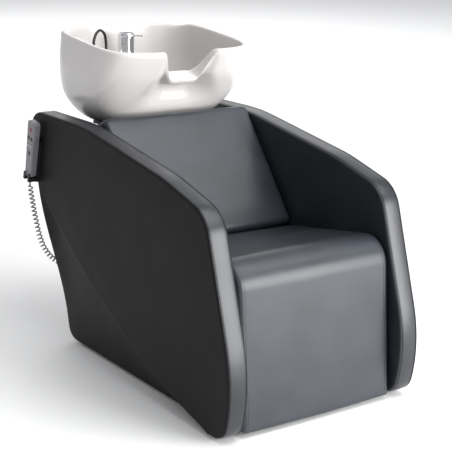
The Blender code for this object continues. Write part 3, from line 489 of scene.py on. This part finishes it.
def armCover(name, side, body):
    edge, lower, crease = armLines()
    rim = edge[:-1] + lower[:-1]                  # the whole outline
    panel = edge[:-1] + crease[:-1]               # the raised panel's outline
    rimOut, panelOut = outwardNormals(rim), outwardNormals(panel)
    count = len(rim)
    low = len(edge) - 1
    half, inner, seam, lip = (armLook[key] for key in ("half", "inner", "seam", "lip"))
    depth = []
    for i, (y, z) in enumerate(rim):
        taper = min(ease(armLook["creaseStart"][1] - z, 0.0, 0.42), ease(y, -0.489, -0.359))
        depth.append((armLook["facet"] - 0.003) * taper if i >= low else 0.0)
    lipDepth = [min(lip, d * 0.8) for d in depth]

    def ring(place):
        made = []
        for i in range(count):
            x, (y, z) = place(i)
            made.append(Vector((side * x, y, z)))
        return made

    def atRim(x, inset):
        return ring(lambda i: (x if x < 0.3 else x - depth[i], rim[i] - rimOut[i] * inset))

    centre = sum(rim, Vector((0, 0))) / count
    middle = sum(panel, Vector((0, 0))) / count
    rings = [ring(lambda i, s=s: (inner + 0.0008, centre + (rim[i] - rimOut[i] * 0.008 - centre) * s))
             for s in (0.12, 0.3, 0.5, 0.68, 0.82, 0.92, 0.97)]
    rings += [atRim(inner + 0.0004, 0.0075), atRim(inner + 0.001, 0.003), atRim(inner + 0.0028, 0.0009),
              atRim(inner + seam - 0.0014, 0.0003), atRim(inner + seam - 0.0005, 0.002),
              atRim(inner + seam + 0.0005, 0.002), atRim(inner + seam + 0.0016, 0.0004)]
    for k in range(1, 8):
        share = k / 8
        bulge = 0.0004 - 0.0016 * math.sin(math.pi * share)
        rings.append(ring(lambda i, share=share, bulge=bulge: (
            inner + seam + (half - depth[i] - inner - 2 * seam) * share, rim[i] - rimOut[i] * bulge)))
    rings += [atRim(half - seam - 0.0016, 0.0004), atRim(half - seam - 0.0005, 0.002),
              atRim(half - seam + 0.0005, 0.002), atRim(half - seam + 0.0014, 0.0003),
              atRim(half - 0.0028, 0.0009), atRim(half - 0.001, 0.003), atRim(half - 0.0003, 0.0075)]
    for k in range(1, 9):                         # the facet, from the outline up to the panel's overhang
        share = k / 9
        hollow = 0.004 * math.sin(math.pi * share)

        def facetPlace(i, share=share, hollow=hollow):
            low3 = rim[i] - rimOut[i] * 0.0075
            high3 = panel[i] - panelOut[i] * 0.0076
            tuck = hollow * min(1.0, depth[i] / 0.02)
            return (half - 0.0003 - depth[i] + (depth[i] - lipDepth[i]) * share - tuck, low3.lerp(high3, share))

        rings.append(ring(facetPlace))

    def lipRing(out, inset):
        # out runs from 0 at the overhang's underside to 1 at the panel's face
        return ring(lambda i: (half - 0.0003 - lipDepth[i] * (1 - out), panel[i] - panelOut[i] * inset) if i >= low
                    else (half - 0.0003 + 0.0003 * out, panel[i] - panelOut[i] * (0.0078 + 0.0004 * out)))

    rings += [lipRing(0.0, 0.006), lipRing(0.02, 0.0025), lipRing(0.12, 0.0006), lipRing(0.3, 0.0),
              lipRing(0.6, 0.0), lipRing(0.82, 0.001), lipRing(0.95, 0.0032), lipRing(1.0, 0.0075)]
    crown = armLook["crown"]
    for s in (0.985, 0.965, 0.935, 0.89, 0.82, 0.72, 0.58, 0.42, 0.26, 0.12):
        rings.append(ring(lambda i, s=s: (half + crown * ease(1 - s, 0.0, 0.3),
                                          middle + (panel[i] - panelOut[i] * 0.0085 - middle) * s)))
    piece = fromMesh(name, loft(rings), armVinyl)
    dress(piece, armVinyl, body, [name.replace("_cover", "")], 50)
    # the outer faces take the darker copy of the vinyl: painted shade
    piece.data.materials.append(shadedSideVinyl)
    for face in piece.data.polygons:
        if all(abs(piece.data.vertices[v].co.x) > half - depth[v % count] - seam
               for v in face.vertices):
            face.material_index = 1
    lines = []
    for x, sign in ((inner + seam + 0.0034, 1), (half - seam - 0.0034, -1)):
        spots = [Vector((side * (x - (depth[i] if sign < 0 else 0)), *(rim[i] + rimOut[i] * 0.0007)))
                 for i in range(8, low - 8)]

        def faceOut(spot, near=[(s, Vector((0, *rimOut[i]))) for s, i in zip(spots, range(8, low - 8))]):
            return min(near, key=lambda item: (item[0] - spot).length_squared)[1]

        lines.append((spots, faceOut))
    stitches(name.replace("cover", "stitches"), lines, body)
    return piece


armCover("left_arm_cover", -1, "frame")
armCover("right_arm_cover", 1, "frame")
print("arms covered")


# back cushion: foam wrapped tight, a little smaller than the model's own solid, swollen by cloth pressure

cushionLook = {"back_cushion": {"cell": 0.0055, "shrink": 0.006, "swell": 0.0095, "press": 4.0, "stiff": 25,
                                "frames": 15, "evening": 60, "half": 0.263}}


def paddedCopy(node):
    look = cushionLook[node]
    mesh = nodes[node].data.copy()
    piece = bpy.data.objects.new(node + "_cover", mesh)
    bpy.context.scene.collection.objects.link(piece)
    pick(piece)
    bpy.ops.object.mode_set(mode="EDIT")
    bpy.ops.mesh.select_all(action="SELECT")
    bpy.ops.mesh.remove_doubles(threshold=0.00002)
    bpy.ops.object.mode_set(mode="OBJECT")
    low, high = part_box(node)
    middle = (low + high) / 2
    for vert in mesh.vertices:
        for k in range(3):
            size = (high - low)[k]
            vert.co[k] = middle[k] + (vert.co[k] - middle[k]) * (size - 2 * look["shrink"]) / size
    withModifier(piece, "REMESH", mode="VOXEL", voxel_size=look["cell"])
    withModifier(piece, "SMOOTH", factor=0.5, iterations=3)
    start = [(vert.co.copy(), vert.normal.copy()) for vert in piece.data.vertices]
    cloth = piece.modifiers.new("cloth", "CLOTH")
    cloth.settings.use_pressure = True
    cloth.settings.uniform_pressure_force = look["press"]
    cloth.settings.tension_stiffness = look["stiff"]
    cloth.settings.compression_stiffness = look["stiff"]
    cloth.settings.effector_weights.gravity = 0
    for step in range(1, look["frames"] + 1):
        bpy.context.scene.frame_set(step)
    bpy.ops.object.modifier_apply(modifier="cloth")
    bpy.context.scene.frame_set(1)
    # at least out to the model's own face, so that the boxed corners stay crisp
    rise = [max(look["shrink"] * 0.95, min((vert.co - before).dot(normal), look["swell"]))
            for vert, (before, normal) in zip(piece.data.vertices, start)]
    beside = [[] for vert in piece.data.vertices]
    for edge in piece.data.edges:
        a, b = edge.vertices
        beside[a].append(b)
        beside[b].append(a)
    for _ in range(look["evening"]):
        rise = [0.4 * rise[i] + 0.6 * sum(rise[k] for k in near) / len(near) for i, near in enumerate(beside)]
    for vert, (before, normal), lift in zip(piece.data.vertices, start, rise):
        vert.co = before + normal * lift
        vert.co.x = max(-look["half"], min(look["half"], vert.co.x))     # it stays between the arms
    withModifier(piece, "SMOOTH", factor=0.4, iterations=4)
    withModifier(piece, "SUBSURF", levels=1, render_levels=1)
    for vert in piece.data.vertices:
        vert.co.x = max(-look["half"], min(look["half"], vert.co.x))
    return piece


backCover = paddedCopy("back_cushion")
dress(backCover, padVinyl, "frame", ["back_cushion"], 60)

# the seat's cover runs on over the rolled front edge and down the leg rest, boxed at both sides
waterfallLook = {"half": 0.2585, "edge": 0.015, "deep": 0.026, "crown": 0.0035, "seam": 0.0012,
                 "foot": 0.0145, "roll": 0.078, "steps": 170}


def waterfallLine():
    corners = [(-0.075, 0.4145, 0), (-0.5103, 0.4843, waterfallLook["roll"]),
               (-0.5495, waterfallLook["foot"], 0.006), (-0.522, waterfallLook["foot"], 0)]
    return evenly(rounded(corners, 24), waterfallLook["steps"])


def waterfallSection():
    half, edge, deep, seam = (waterfallLook[key] for key in ("half", "edge", "deep", "seam"))
    right = [(half - edge + edge * math.sin(math.radians(a)), edge * math.cos(math.radians(a)) - edge)
             for a in range(0, 91, 10)]
    right += [(half, -edge - 0.001), (half - seam, -edge - 0.0017), (half - seam, -edge - 0.0023),
              (half, -edge - 0.003), (half - 0.0002, -edge - 0.0065), (half - 0.0015, -deep)]
    top = [(-1 + 2 * k / 40) * (half - edge) for k in range(1, 40)]
    section = [(x, 0.0) for x in top] + right + [(-x, off) for x, off in reversed(right)]
    crown = waterfallLook["crown"]
    return [(x, off + crown * max(0.0, 1 - (x / half) ** 2) ** 1.5 if off > -edge / 2 else off)
            for x, off in section]


def waterfallOut(line, i):
    # away from the foam: up and forward, and down under the foot
    along = (line[min(i + 1, len(line) - 1)] - line[max(i - 1, 0)]).normalized()
    out = Vector((along.y, -along.x))
    return out if out.dot(Vector((-0.4, 0.35))) > 0 or i > 150 and out.y < 0 else -out


line = waterfallLine()
section = waterfallSection()
waterfall = fromMesh("seat_waterfall_cover", loft([
    [Vector((x, *(spot + waterfallOut(line, i) * off))) for x, off in section]
    for i, spot in enumerate(line)]), padVinyl, 50)
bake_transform(waterfall)
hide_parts("seat_cushion")
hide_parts("leg_rest_pad")
seamLines = []
half, edge = waterfallLook["half"], waterfallLook["edge"]
for side in (-1, 1):
    for inset in (0.0115, 0.0185):
        drop = edge - math.sqrt(edge ** 2 - max(0.0, edge - inset) ** 2)
        spots = [Vector((side * (half - inset), *(line[i] + waterfallOut(line, i) * (0.0006 - drop))))
                 for i in range(2, 164)]
        seamLines.append((spots, (0, -0.75, 0.66)))
seatStitches = stitches("seat_waterfall_stitches", seamLines, None)
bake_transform(seatStitches)
seatCore = extrudedSide("seat_foam_core", [(-0.085, 0.392), (-0.016, 0.35), (-0.013, 0.324), (-0.357, 0.3735),
                                           (-0.359, 0.395), (-0.372, 0.438)], -0.256, 0.256, 0.004, 2)
dress(seatCore, padVinyl, "frame")
rollIn = [(-0.44 + 0.056 * math.cos(math.radians(a)), 0.395 + 0.056 * math.sin(math.radians(a)))
          for a in range(90, 176, 8)]
legCore = extrudedSide("leg_rest_foam_core", rollIn + [(-0.527, 0.018), (-0.499, 0.018), (-0.4625, 0.416),
                                                       (-0.44, 0.423)], -0.256, 0.256)
dress(legCore, padVinyl, "leg_rest")
print("cushions swollen")


# basin: vitreous china under a thick clear glaze, warm white, with faint ripples

basinLook = {"bottom": 0.7, "floor": 0.722, "notchEdge": (0.042, 0.095), "notchDepth": 0.075, "fall": 0.3,
             "crestBack": 0.211, "bay": 0.055, "bayEdge": (0.03, 0.105), "lip": 0.055, "lipEdge": (0.03, 0.092),
             "frontPower": 4.6, "rearPower": 3.0, "drain": (0.0, 0.385), "drainRadius": 0.026, "around": 288,
             "deckTop": 0.88, "rollHeight": 0.0062}
outerStations = [(1.00, 0.255, 0.092, 0.595), (0.947, 0.262, 0.098, 0.593), (0.9, 0.266, 0.122, 0.589),
                 (0.86, 0.266, 0.145, 0.583), (0.81, 0.26, 0.184, 0.568), (0.775, 0.246, 0.212, 0.551),
                 (0.74, 0.218, 0.242, 0.53), (0.715, 0.186, 0.265, 0.511), (0.7, 0.15, 0.285, 0.492)]
bowlStations = [(1.00, 0.242, 0.106, 0.582), (0.9, 0.252, 0.137, 0.576), (0.86, 0.252, 0.161, 0.569),
                (0.81, 0.244, 0.201, 0.552), (0.775, 0.222, 0.233, 0.53), (0.745, 0.18, 0.27, 0.498),
                (0.728, 0.12, 0.312, 0.456), (0.722, 0.055, 0.335, 0.435)]

glaze, tree, base, place = newMaterial("glazed_china", Roughness=0.22, IOR=1.52, Coat_Weight=0.2,
                                       Coat_Roughness=0.08)
mottle(tree, base, place, 3.5, 3.0, [(0.3, "#c8c5c3"), (0.7, "#d0cdcb")])
ripple = addNode(tree, "TexNoise", {"Vector": place, "Scale": 16.0, "Detail": 1.0})
addNode(tree, "Bump", {"Height": ripple, "Distance": 0.0006, "Strength": 0.35}, into=base.inputs["Normal"])


def station(rows, height):
    # smooth reading between the given heights
    if height >= rows[0][0]:
        return rows[0][1:]
    if height <= rows[-1][0]:
        return rows[-1][1:]
    i = next(k for k in range(len(rows) - 1) if height >= rows[k + 1][0])
    high, low = rows[i], rows[i + 1]
    above, below = rows[max(i - 1, 0)], rows[min(i + 2, len(rows) - 1)]
    t = (height - low[0]) / (high[0] - low[0])
    made = []
    for k in (1, 2, 3):
        run = high[0] - low[0]
        slopeLow = (high[k] - below[k]) / (high[0] - below[0]) * run
        slopeHigh = (above[k] - low[k]) / (above[0] - low[0]) * run
        made.append((2 * t ** 3 - 3 * t * t + 1) * low[k] + (t ** 3 - 2 * t * t + t) * slopeLow
                    + (3 * t * t - 2 * t ** 3) * high[k] + (t ** 3 - t * t) * slopeHigh)
    return made


def ovalPoint(size, turn):
    wide, front, rear = size
    c, s = math.cos(turn), math.sin(turn)
    power = 2 / (basinLook["frontPower"] if s < 0 else basinLook["rearPower"])
    return (wide * math.copysign(abs(c) ** power, c),
            (front + rear) / 2 + (rear - front) / 2 * math.copysign(abs(s) ** power, s))


def rimHeight(x, y, turn):
    tilted = 0.947 + 0.103 * (y - 0.092)
    if math.sin(turn) >= 0:
        return tilted - 0.012 * ease(y, 0.47, 0.53)
    fall = basinLook["notchDepth"] + basinLook["fall"] * max(0.0, basinLook["crestBack"] - y)
    return tilted - fall * (1 - ease(abs(x), *basinLook["notchEdge"]))


def basinTurns():
    fine = [math.pi / 2 + math.tau * i / 6000 for i in range(6001)]
    spots = [Vector(ovalPoint((0.262, 0.098, 0.593), a)) for a in fine]
    weight = [0.0]
    for a, b in zip(spots, spots[1:]):
        close = 1.9 if a.y < 0.25 and abs(a.x) < 0.14 else 1.0      # closer together at the neck rest
        weight.append(weight[-1] + (b - a).length * close)
    turns = []
    spot = 0
    for index in range(basinLook["around"]):
        while weight[spot] < weight[-1] * index / basinLook["around"]:
            spot += 1
        turns.append(fine[spot])
    return turns


turns = basinTurns()


def basinPoint(rows, turn, height, lip):
    x, y = ovalPoint(station(rows, height), turn)
    if math.sin(turn) < 0:
        near, far = basinLook["bayEdge"]
        far += 0.9 * max(0.0, 0.87 - height)
        y += basinLook["bay"] * ease(height, 0.745, 0.85) * (1 - ease(abs(x), near, far))
        y -= basinLook["lip"] * lip * (1 - ease(abs(x), *basinLook["lipEdge"]))
    return x, y


def basinRing(rows, share, floor, outside):
    lip = ease(share, 0.76, 0.92) if outside else 0.0
    made = []
    for turn in turns:
        x, y = basinPoint(rows, turn, 0.95, lip)
        for _ in range(6):                        # the rim's height depends on the place, and the other way round
            height = floor + (rimHeight(x, y, turn) - basinLook["rollHeight"] - floor) * share
            x, y = basinPoint(rows, turn, height, lip)
        made.append(Vector((x, y, height)))
    return made


def makeBasin():
    floor, bottom = basinLook["floor"], basinLook["bottom"]
    shares = [i / 34 for i in range(35)]
    outside = [basinRing(outerStations, share ** 1.15, bottom, True) for share in shares]
    inside = [basinRing(bowlStations, share ** 1.25, floor, False) for share in reversed(shares)]
    roll = []
    for k in range(1, 8):                         # the rolled rim
        swing = math.pi * k / 8
        lift = Vector((0, 0, basinLook["rollHeight"] * math.sin(swing)))
        roll.append([a.lerp(b, (1 - math.cos(swing)) / 2) + lift for a, b in zip(outside[-1], inside[0])])
    rings = outside + roll + inside
    drain = basinLook["drain"]
    circle = [Vector((drain[0] + basinLook["drainRadius"] * math.cos(a),
                      drain[1] + basinLook["drainRadius"] * math.sin(a), 0)) for a in turns]
    rings.append([a.lerp(Vector((b.x, b.y, floor)), 0.5) for a, b in zip(inside[-1], circle)])
    for height in (floor, bottom):
        rings.append([Vector((p.x, p.y, height)) for p in circle])
    bm = loft(rings + [rings[0]], False)
    bmesh.ops.remove_doubles(bm, verts=bm.verts, dist=1e-6)
    piece = fromMesh("china_basin", bm, glaze, 50)
    deckTop = basinLook["deckTop"]
    deck = extrudedSide("deck", [(0.44, 0.732), (0.44, deckTop), (0.572, deckTop), (0.566, 0.855), (0.55, 0.81),
                                 (0.531, 0.775), (0.508, 0.745), (0.492, 0.732)], -0.106, 0.046, 0.011, 5)
    carve(piece, deck, "UNION")
    pocket = extrudedSide("pocket", [(0.453, 0.6), (0.453, 0.865), (0.551, 0.865), (0.546, 0.845), (0.531, 0.81),
                                     (0.513, 0.775), (0.494, 0.745), (0.482, 0.7), (0.482, 0.6)], -0.094, 0.034)
    carve(piece, pocket)
    for spot, radius in (((0.0, 0.5), 0.0125), ((-0.072, 0.505), 0.0085)):
        deselect()
        bpy.ops.mesh.primitive_cylinder_add(vertices=32, radius=radius, depth=0.06, location=(*spot, 0.87))
        carve(piece, bpy.context.object)
    return piece


dress(makeBasin(), glaze, "basin_unit", ["basin"], 50)
print("basin glazed")


# plumbing: brass under bright chrome plate, with hazy water marks

def plated(name, colour, rough, metallic=1.0, marks=0.06):
    made, tree, base, place = newMaterial(name, Roughness=rough, Metallic=metallic)
    light = "#%02x%02x%02x" % tuple(min(255, int(colour[i:i + 2], 16) + 10) for i in (1, 3, 5))
    haze = mottle(tree, base, place, 60.0, 6.0, [(0.3, colour), (0.7, light)])
    addNode(tree, "ValToRGB", {0: haze}, [(0.35, rough), (0.75, rough + marks)], base.inputs["Roughness"])
    return made


def moulded(name, dark, light, rough, texture=0.00006, grit=0.0009):
    # injection-moulded plastic with a spark-eroded skin
    made, tree, base, place = newMaterial(name, Roughness=rough, IOR=1.52)
    tone = mottle(tree, base, place, 30.0, 4.0, [(0.3, dark), (0.7, light)])
    skin = addNode(tree, "TexNoise", {"Vector": place, "Scale": 1 / grit, "Detail": 2.0})
    addNode(tree, "ValToRGB", {0: tone}, [(0.3, rough - 0.04), (0.7, rough + 0.06)], base.inputs["Roughness"])
    addNode(tree, "Bump", {"Height": skin, "Distance": texture, "Strength": 0.6}, into=base.inputs["Normal"])
    return made


chromePlate = plated("chrome_plate", "#d6d8db", 0.07)
blackAbs = moulded("black_abs", "#121315", "#1b1c1f", 0.42)
greyAbs = moulded("grey_abs", "#747276", "#838185", 0.42)
redAbs = moulded("red_abs", "#b01217", "#c81c20", 0.36)
darkRubber = moulded("dark_rubber", "#0f0f10", "#1a1a1b", 0.6)
mixerLook = {"place": (0.0, 0.5, 0.0), "radius": 0.026, "deck": 0.8803, "top": 0.95, "cap": 0.966,
             "leverAngle": math.radians(40), "leverReach": 0.0306, "leverZ": 0.958}
deckZ, radius, topZ, capZ = (mixerLook[key] for key in ("deck", "radius", "top", "cap"))
mixer = spun("mixer_turned_body", [
    (0, 0.826), (0.0085, 0.826), (0.0085, 0.844), (0.012, 0.844), (0.012, deckZ), (radius + 0.003, deckZ),
    (radius + 0.003, deckZ + 0.0032), (radius + 0.0024, deckZ + 0.0042), (radius + 0.0005, deckZ + 0.0046),
    (radius, deckZ + 0.0056), (radius, 0.9305), (radius - 0.0008, 0.9312), (radius - 0.0008, 0.9322),
    (radius, 0.9329), (radius, topZ - 0.0008), (radius - 0.0008, topZ), (0, topZ)], mixerLook["place"])
dress(mixer, chromePlate, "basin_unit", ["mixer_body"])
cap = spun("mixer_turned_cap", [
    (0, topZ + 0.0003), (radius - 0.0006, topZ + 0.0003), (radius, topZ + 0.001), (radius, capZ - 0.0028),
    (radius - 0.0006, capZ - 0.0014), (radius - 0.0018, capZ - 0.0006), (radius - 0.0028, capZ - 0.0004),
    (radius - 0.0032, capZ - 0.0012), (0, capZ - 0.0012)], mixerLook["place"])
dress(cap, chromePlate, "mixer_cap", ["mixer_cap"])
# a black disc on the cap stands in for the dark reflection in the chrome top: painted reflection
disc = spun("mixer_painted_reflection_disc", [
    (0, capZ - 0.0014), (radius - 0.0038, capZ - 0.0014), (radius - 0.0038, capZ - 0.0007),
    (radius - 0.0046, capZ - 0.0002), (radius - 0.0075, capZ), (0, capZ + 0.0002)], mixerLook["place"])
dress(disc, blackAbs, "mixer_cap")
leverWay = Vector((math.sin(mixerLook["leverAngle"]), -math.cos(mixerLook["leverAngle"]), 0))
leverRoot = Vector(mixerLook["place"]) + Vector((0, 0, mixerLook["leverZ"])) + leverWay * mixerLook["leverReach"]
leverTurn = Matrix.Rotation(mixerLook["leverAngle"] - math.pi / 2, 4, "Z") @ Matrix.Rotation(math.pi / 2, 4, "Y")
lever = spun("mixer_turned_lever", [
    (0, -0.0042), (0.0019, -0.0038), (0.0034, -0.0026), (0.0042, 0.0), (0.0036, 0.0026), (0.0026, 0.0044),
    (0.0023, 0.007), (0.0024, 0.018), (0.0031, 0.0235), (0.0035, 0.0262), (0.0031, 0.0283), (0.0018, 0.0295),
    (0, 0.0298)], leverRoot, 32, leverTurn)
dress(lever, chromePlate, "mixer_lever", ["mixer_lever"], 60)

ferrule = spun("hose_turned_ferrule", [
    (0.0055, 0.868), (0.008, 0.868), (0.008, deckZ), (0.013, deckZ), (0.013, 0.8832), (0.0122, 0.884),
    (0.0104, 0.8858), (0.0092, 0.8895), (0.009, 0.8925), (0.0086, 0.893), (0.0086, 0.8942), (0.0089, 0.8947),
    (0.008, 0.913), (0.0074, 0.9155), (0.0062, 0.916), (0.0055, 0.9155), (0.0055, 0.868)],
               (-0.072, 0.505, 0), 48)
dress(ferrule, chromePlate, "basin_unit", ["hose_ferrule"])
showerPlace = (-0.138, 0.466, 0)
grip = spun("hand_shower_soft_grip", [
    (0, 0.834), (0.0085, 0.834), (0.01, 0.835), (0.0106, 0.842), (0.011, 0.85)]
    + [(0.0109 - 0.0006 * (k % 2), 0.8535 + 0.0024 * k) for k in range(12)]
    + [(0.0106, 0.886), (0.0105, 0.905), (0.0098, 0.915), (0.0085, 0.9255), (0.0066, 0.932), (0.0056, 0.934),
       (0, 0.934)], showerPlace, 48)
dress(grip, blackAbs, "hand_shower", ["hand_shower_grip"])
head = spun("hand_shower_rose", [
    (0, 0.801), (0.017, 0.801), (0.0176, 0.8), (0.02, 0.8002), (0.0215, 0.8015), (0.022, 0.8035),
    (0.0216, 0.807), (0.0205, 0.812), (0.0165, 0.8185), (0.0128, 0.824), (0.0108, 0.8285), (0.0097, 0.8337),
    (0, 0.8337)], showerPlace, 64)
for ringRadius, nozzles in ((0.0045, 6), (0.009, 12), (0.0135, 18)):
    for k in range(nozzles):
        turn = math.tau * k / nozzles
        deselect()
        bpy.ops.mesh.primitive_cone_add(vertices=8, radius1=0.0006, radius2=0.001, depth=0.0016, location=(
            showerPlace[0] + ringRadius * math.cos(turn), showerPlace[1] + ringRadius * math.sin(turn), 0.8006))
        nozzle = bpy.context.object
        settle(nozzle)
        pick(head)
        nozzle.select_set(True)
        bpy.ops.object.join()
dress(head, chromePlate, "hand_shower", ["hand_shower_head"])
flange = spun("drain_turned_flange", [
    (0.0195, 0.684), (0.0235, 0.684), (0.0235, 0.7223), (0.034, 0.7223), (0.034, 0.7238), (0.0334, 0.7248),
    (0.0318, 0.7256), (0.029, 0.7258), (0.0215, 0.721), (0.02, 0.7192), (0.0195, 0.718), (0.0195, 0.684)],
              (*basinLook["drain"], 0), 64)
dress(flange, chromePlate, "basin_unit", ["drain_flange"])
print("plumbing plated")


# handset: grey ABS case tilted on the left arm's rear edge, with raised buttons and a light bar

handsetLook = {"place": (-0.351, 0.487, 0.62), "tilt": math.radians(12), "thick": 0.022, "wide": 0.05,
               "tall": 0.185, "button": 0.005}
handsetFrame = Matrix.Translation(handsetLook["place"]) @ Matrix.Rotation(handsetLook["tilt"], 4, "X")


def handsetShell(name, low, high, openSide):
    wide, tall = handsetLook["wide"] / 2, handsetLook["tall"] / 2
    outline = [tuple(p) for p in rounded([(wide, tall, 0.012), (-wide, tall, 0.012), (-0.019, -tall, 0.01),
                                          (0.019, -tall, 0.01)], 8)]
    shell = extrudedSide(name, outline, low, high)
    selectWhere(shell, lambda e: e.calc_face_angle(0) > 0.7 and all(
        abs(v.co.x - openSide) < 1e-5 for v in e.verts), "EDGE")
    bpy.ops.mesh.bevel(offset=0.0032, segments=4, affect="EDGES")
    bpy.ops.object.mode_set(mode="OBJECT")
    return shell


def onHandset(piece, body, material, replaced=(), angle=35):
    piece.data.transform(handsetFrame)
    return dress(piece, material, body, replaced, angle)


half = handsetLook["thick"] / 2
case = handsetShell("handset_front_shell", -half, 0.0, -half)
buttons = {"power_button": (0.0, 0.064, redAbs, "red_plastic"),
               "raise_button": (-0.01, 0.036, blackAbs, "black_plastic"),
               "lower_button": (0.01, 0.036, blackAbs, "black_plastic"),
               "massage_button": (0.0, -0.014, blackAbs, "black_plastic")}
alongX = Matrix.Rotation(math.pi / 2, 4, "Y")
for y, z, material, slotName in buttons.values():
    carve(case, spun("button_well", [(0, -0.02), (0.0053, -0.02), (0.0053, -0.005), (0, -0.005)], (0, y, z), 32,
                     alongX))
onHandset(case, "handset", greyAbs, ["handset_case"])
onHandset(handsetShell("handset_rear_shell", 0.0003, half, half), "handset", greyAbs,
          ["handset_back"])
for name, (y, z, material, slotName) in buttons.items():
    button = spun(name + "_cap", [(0, -0.008), (0.0048, -0.008), (0.0048, -0.0112), (0.0044, -0.012),
                                  (0.003, -0.0124), (0, -0.0125)], (0, y, z), 32, alongX)
    onHandset(button, name, material, [name])
    collar = spun(name + "_collar", [
        (0.0053, -0.0108), (0.0068, -0.0108), (0.0068, -0.0112), (0.0062, -0.0115), (0.0056, -0.0115),
        (0.0053, -0.0112), (0.0053, -0.0108)], (0, y, z), 32, alongX)
    onHandset(collar, "handset", blackAbs)
lightBar = box("handset_light_bar", (-half - 0.0005, -0.0145, 0.008), (-half + 0.001, 0.0145, 0.0125), 0.0021, 0,
               0.0002, 2)
# milky acrylic over the lamps
frosted, tree, base, place = newMaterial("frosted_window", Roughness=0.3, IOR=1.49)
mottle(tree, base, place, 220.0, 2.0, [(0.3, "#9aa0a4"), (0.7, "#b4b9bc")])
onHandset(lightBar, "handset", frosted)
print("handset built")


# rear cover: a dark moulded sheet with rounded edges, vents and four screws

coverLook = {"low": 0.03, "high": 0.668, "out": 0.006, "in": 0.018, "half": 0.2645}


def coverPoint(height, out):
    return (rearLine(height) - out, height)


sheetPoints = [coverPoint(coverLook["low"], coverLook["in"]), coverPoint(coverLook["low"], coverLook["out"]),
               coverPoint(coverLook["high"], coverLook["out"]), coverPoint(coverLook["high"], coverLook["in"])]
cover = extrudedSide("rear_cover_sheet", sheetPoints, -coverLook["half"], coverLook["half"], 0.0022, 3)
for k in range(7):
    height = 0.15 + 0.016 * k
    slot = extrudedSide("vent", [coverPoint(height, 0.03), coverPoint(height, -0.01),
                                 coverPoint(height + 0.006, -0.01), coverPoint(height + 0.006, 0.03)],
                        0.06, 0.19, 0.0015, 2)
    carve(cover, slot)
dress(cover, blackAbs, "frame", ["rear_cover"])
rearRun = Vector(armLook["rearTop"]) - Vector(armLook["rearFoot"])
slope = Matrix.Rotation(-math.pi / 2 - math.atan2(*rearRun), 4, "X")
for k, (x, z) in enumerate(((-0.245, 0.06), (0.245, 0.06), (-0.245, 0.64), (0.245, 0.64))):
    y, z = coverPoint(z, coverLook["out"])
    screw = spun(f"cover_screw_{k}", [(0, -0.001), (0.0042, -0.001), (0.0042, 0.0006), (0.0032, 0.0016),
                                      (0.0017, 0.002), (0.0015, 0.0009), (0, 0.0009)], (x, y, z), 24, slope)
    dress(screw, chromePlate, "frame")


# inner woodwork and steel keep their own solids and get the finishes that such parts have

# sanded birch plywood with 1.4 mm plies
birchPly, tree, base, place = newMaterial("birch_ply", Roughness=0.62, IOR=1.5)
stretched = addNode(tree, "Mapping", {"Vector": place, "Scale": (3.0, 3.0, 40.0)})
grain = addNode(tree, "TexNoise", {"Vector": stretched, "Scale": 4.0, "Detail": 8.0, "Distortion": 0.6})
addNode(tree, "ValToRGB", {0: grain}, [(0.3, "#b98f5d"), (0.72, "#d8b98c"), (0.5, "#c9a473")],
        base.inputs["Base Color"])
addNode(tree, "Bump", {"Height": grain, "Distance": 0.0003, "Strength": 0.5}, into=base.inputs["Normal"])

# baked powder with orange peel
powderBlack, tree, base, place = newMaterial("powder_black", Roughness=0.48, IOR=1.5)
peel = addNode(tree, "TexVoronoi", {"Vector": place, "Scale": 420.0}, feature="SMOOTH_F1")
mottle(tree, base, place, 25.0, 3.0, [(0.3, "#1b1c1e"), (0.7, "#26272a")])
addNode(tree, "Bump", {"Height": peel, "Distance": 0.00025, "Strength": 0.5}, into=base.inputs["Normal"])
zincPlate = plated("zinc_plate", "#a9adb0", 0.3, 1.0, 0.18)
finishes = {"plywood": birchPly, "dark_steel": powderBlack, "zinc_steel": zincPlate, "chrome": chromePlate,
            "ceramic": glaze, "black_plastic": blackAbs, "grey_plastic": greyAbs, "red_plastic": redAbs,
            "black_rubber": darkRubber, "cord_grey": cordPvc, "black_leather": armVinyl}
for entry in frame["record"]["subparts"]:
    nodes[entry["node"]].data.materials.clear()
    nodes[entry["node"]].data.materials.append(finishes[entry["material_slot"]])
print("inner parts finished")


# studio: pale floor and plain soft lights

def pale(name, hexColour, rough):
    made, tree, base, place = newMaterial(name, Roughness=rough)
    mottle(tree, base, place, 1.5, 2.0, [(0.0, hexColour), (1.0, "#fdfdfd")])
    return made


deselect()
bpy.ops.mesh.primitive_plane_add(size=40, location=(0, 0, 0))
floor = bpy.context.object
floor.name = "studio_floor"
floor.data.materials.append(pale("studio_floor_paint", "#fafafa", 0.7))


def softLight(name, place, aim, size, power, colour="#ffffff"):
    data = bpy.data.lights.new(name, "AREA")
    data.shape = "RECTANGLE"
    data.size, data.size_y = size
    data.energy = power
    data.color = linear(colour)[:3]
    lamp = bpy.data.objects.new(name, data)
    bpy.context.scene.collection.objects.link(lamp)
    lamp.matrix_world = Matrix.Translation(place) @ (Vector(place) - Vector(aim)).to_track_quat("Z", "Y").to_matrix(
        ).to_4x4()


softLight("overhead", (0.6, -1.3, 3.2), (0, -0.2, 0.4), (2.8, 2.4), 75)
softLight("backdrop", (3.2, 7.0, 4.0), (3.2, 7.0, 0), (9.0, 7.0), 280)
softLight("front_right", (1.6, -3.6, 1.2), (0, -0.2, 0.4), (2.6, 2.2), 205)
bpy.context.scene.view_settings.view_transform = "Standard"
world = bpy.data.worlds.new("studio")
bpy.context.scene.world = world
world.use_nodes = True
world.node_tree.nodes["Background"].inputs["Color"].default_value = linear("#f4f5f7")
world.node_tree.nodes["Background"].inputs["Strength"].default_value = 0.62
print("studio lit")
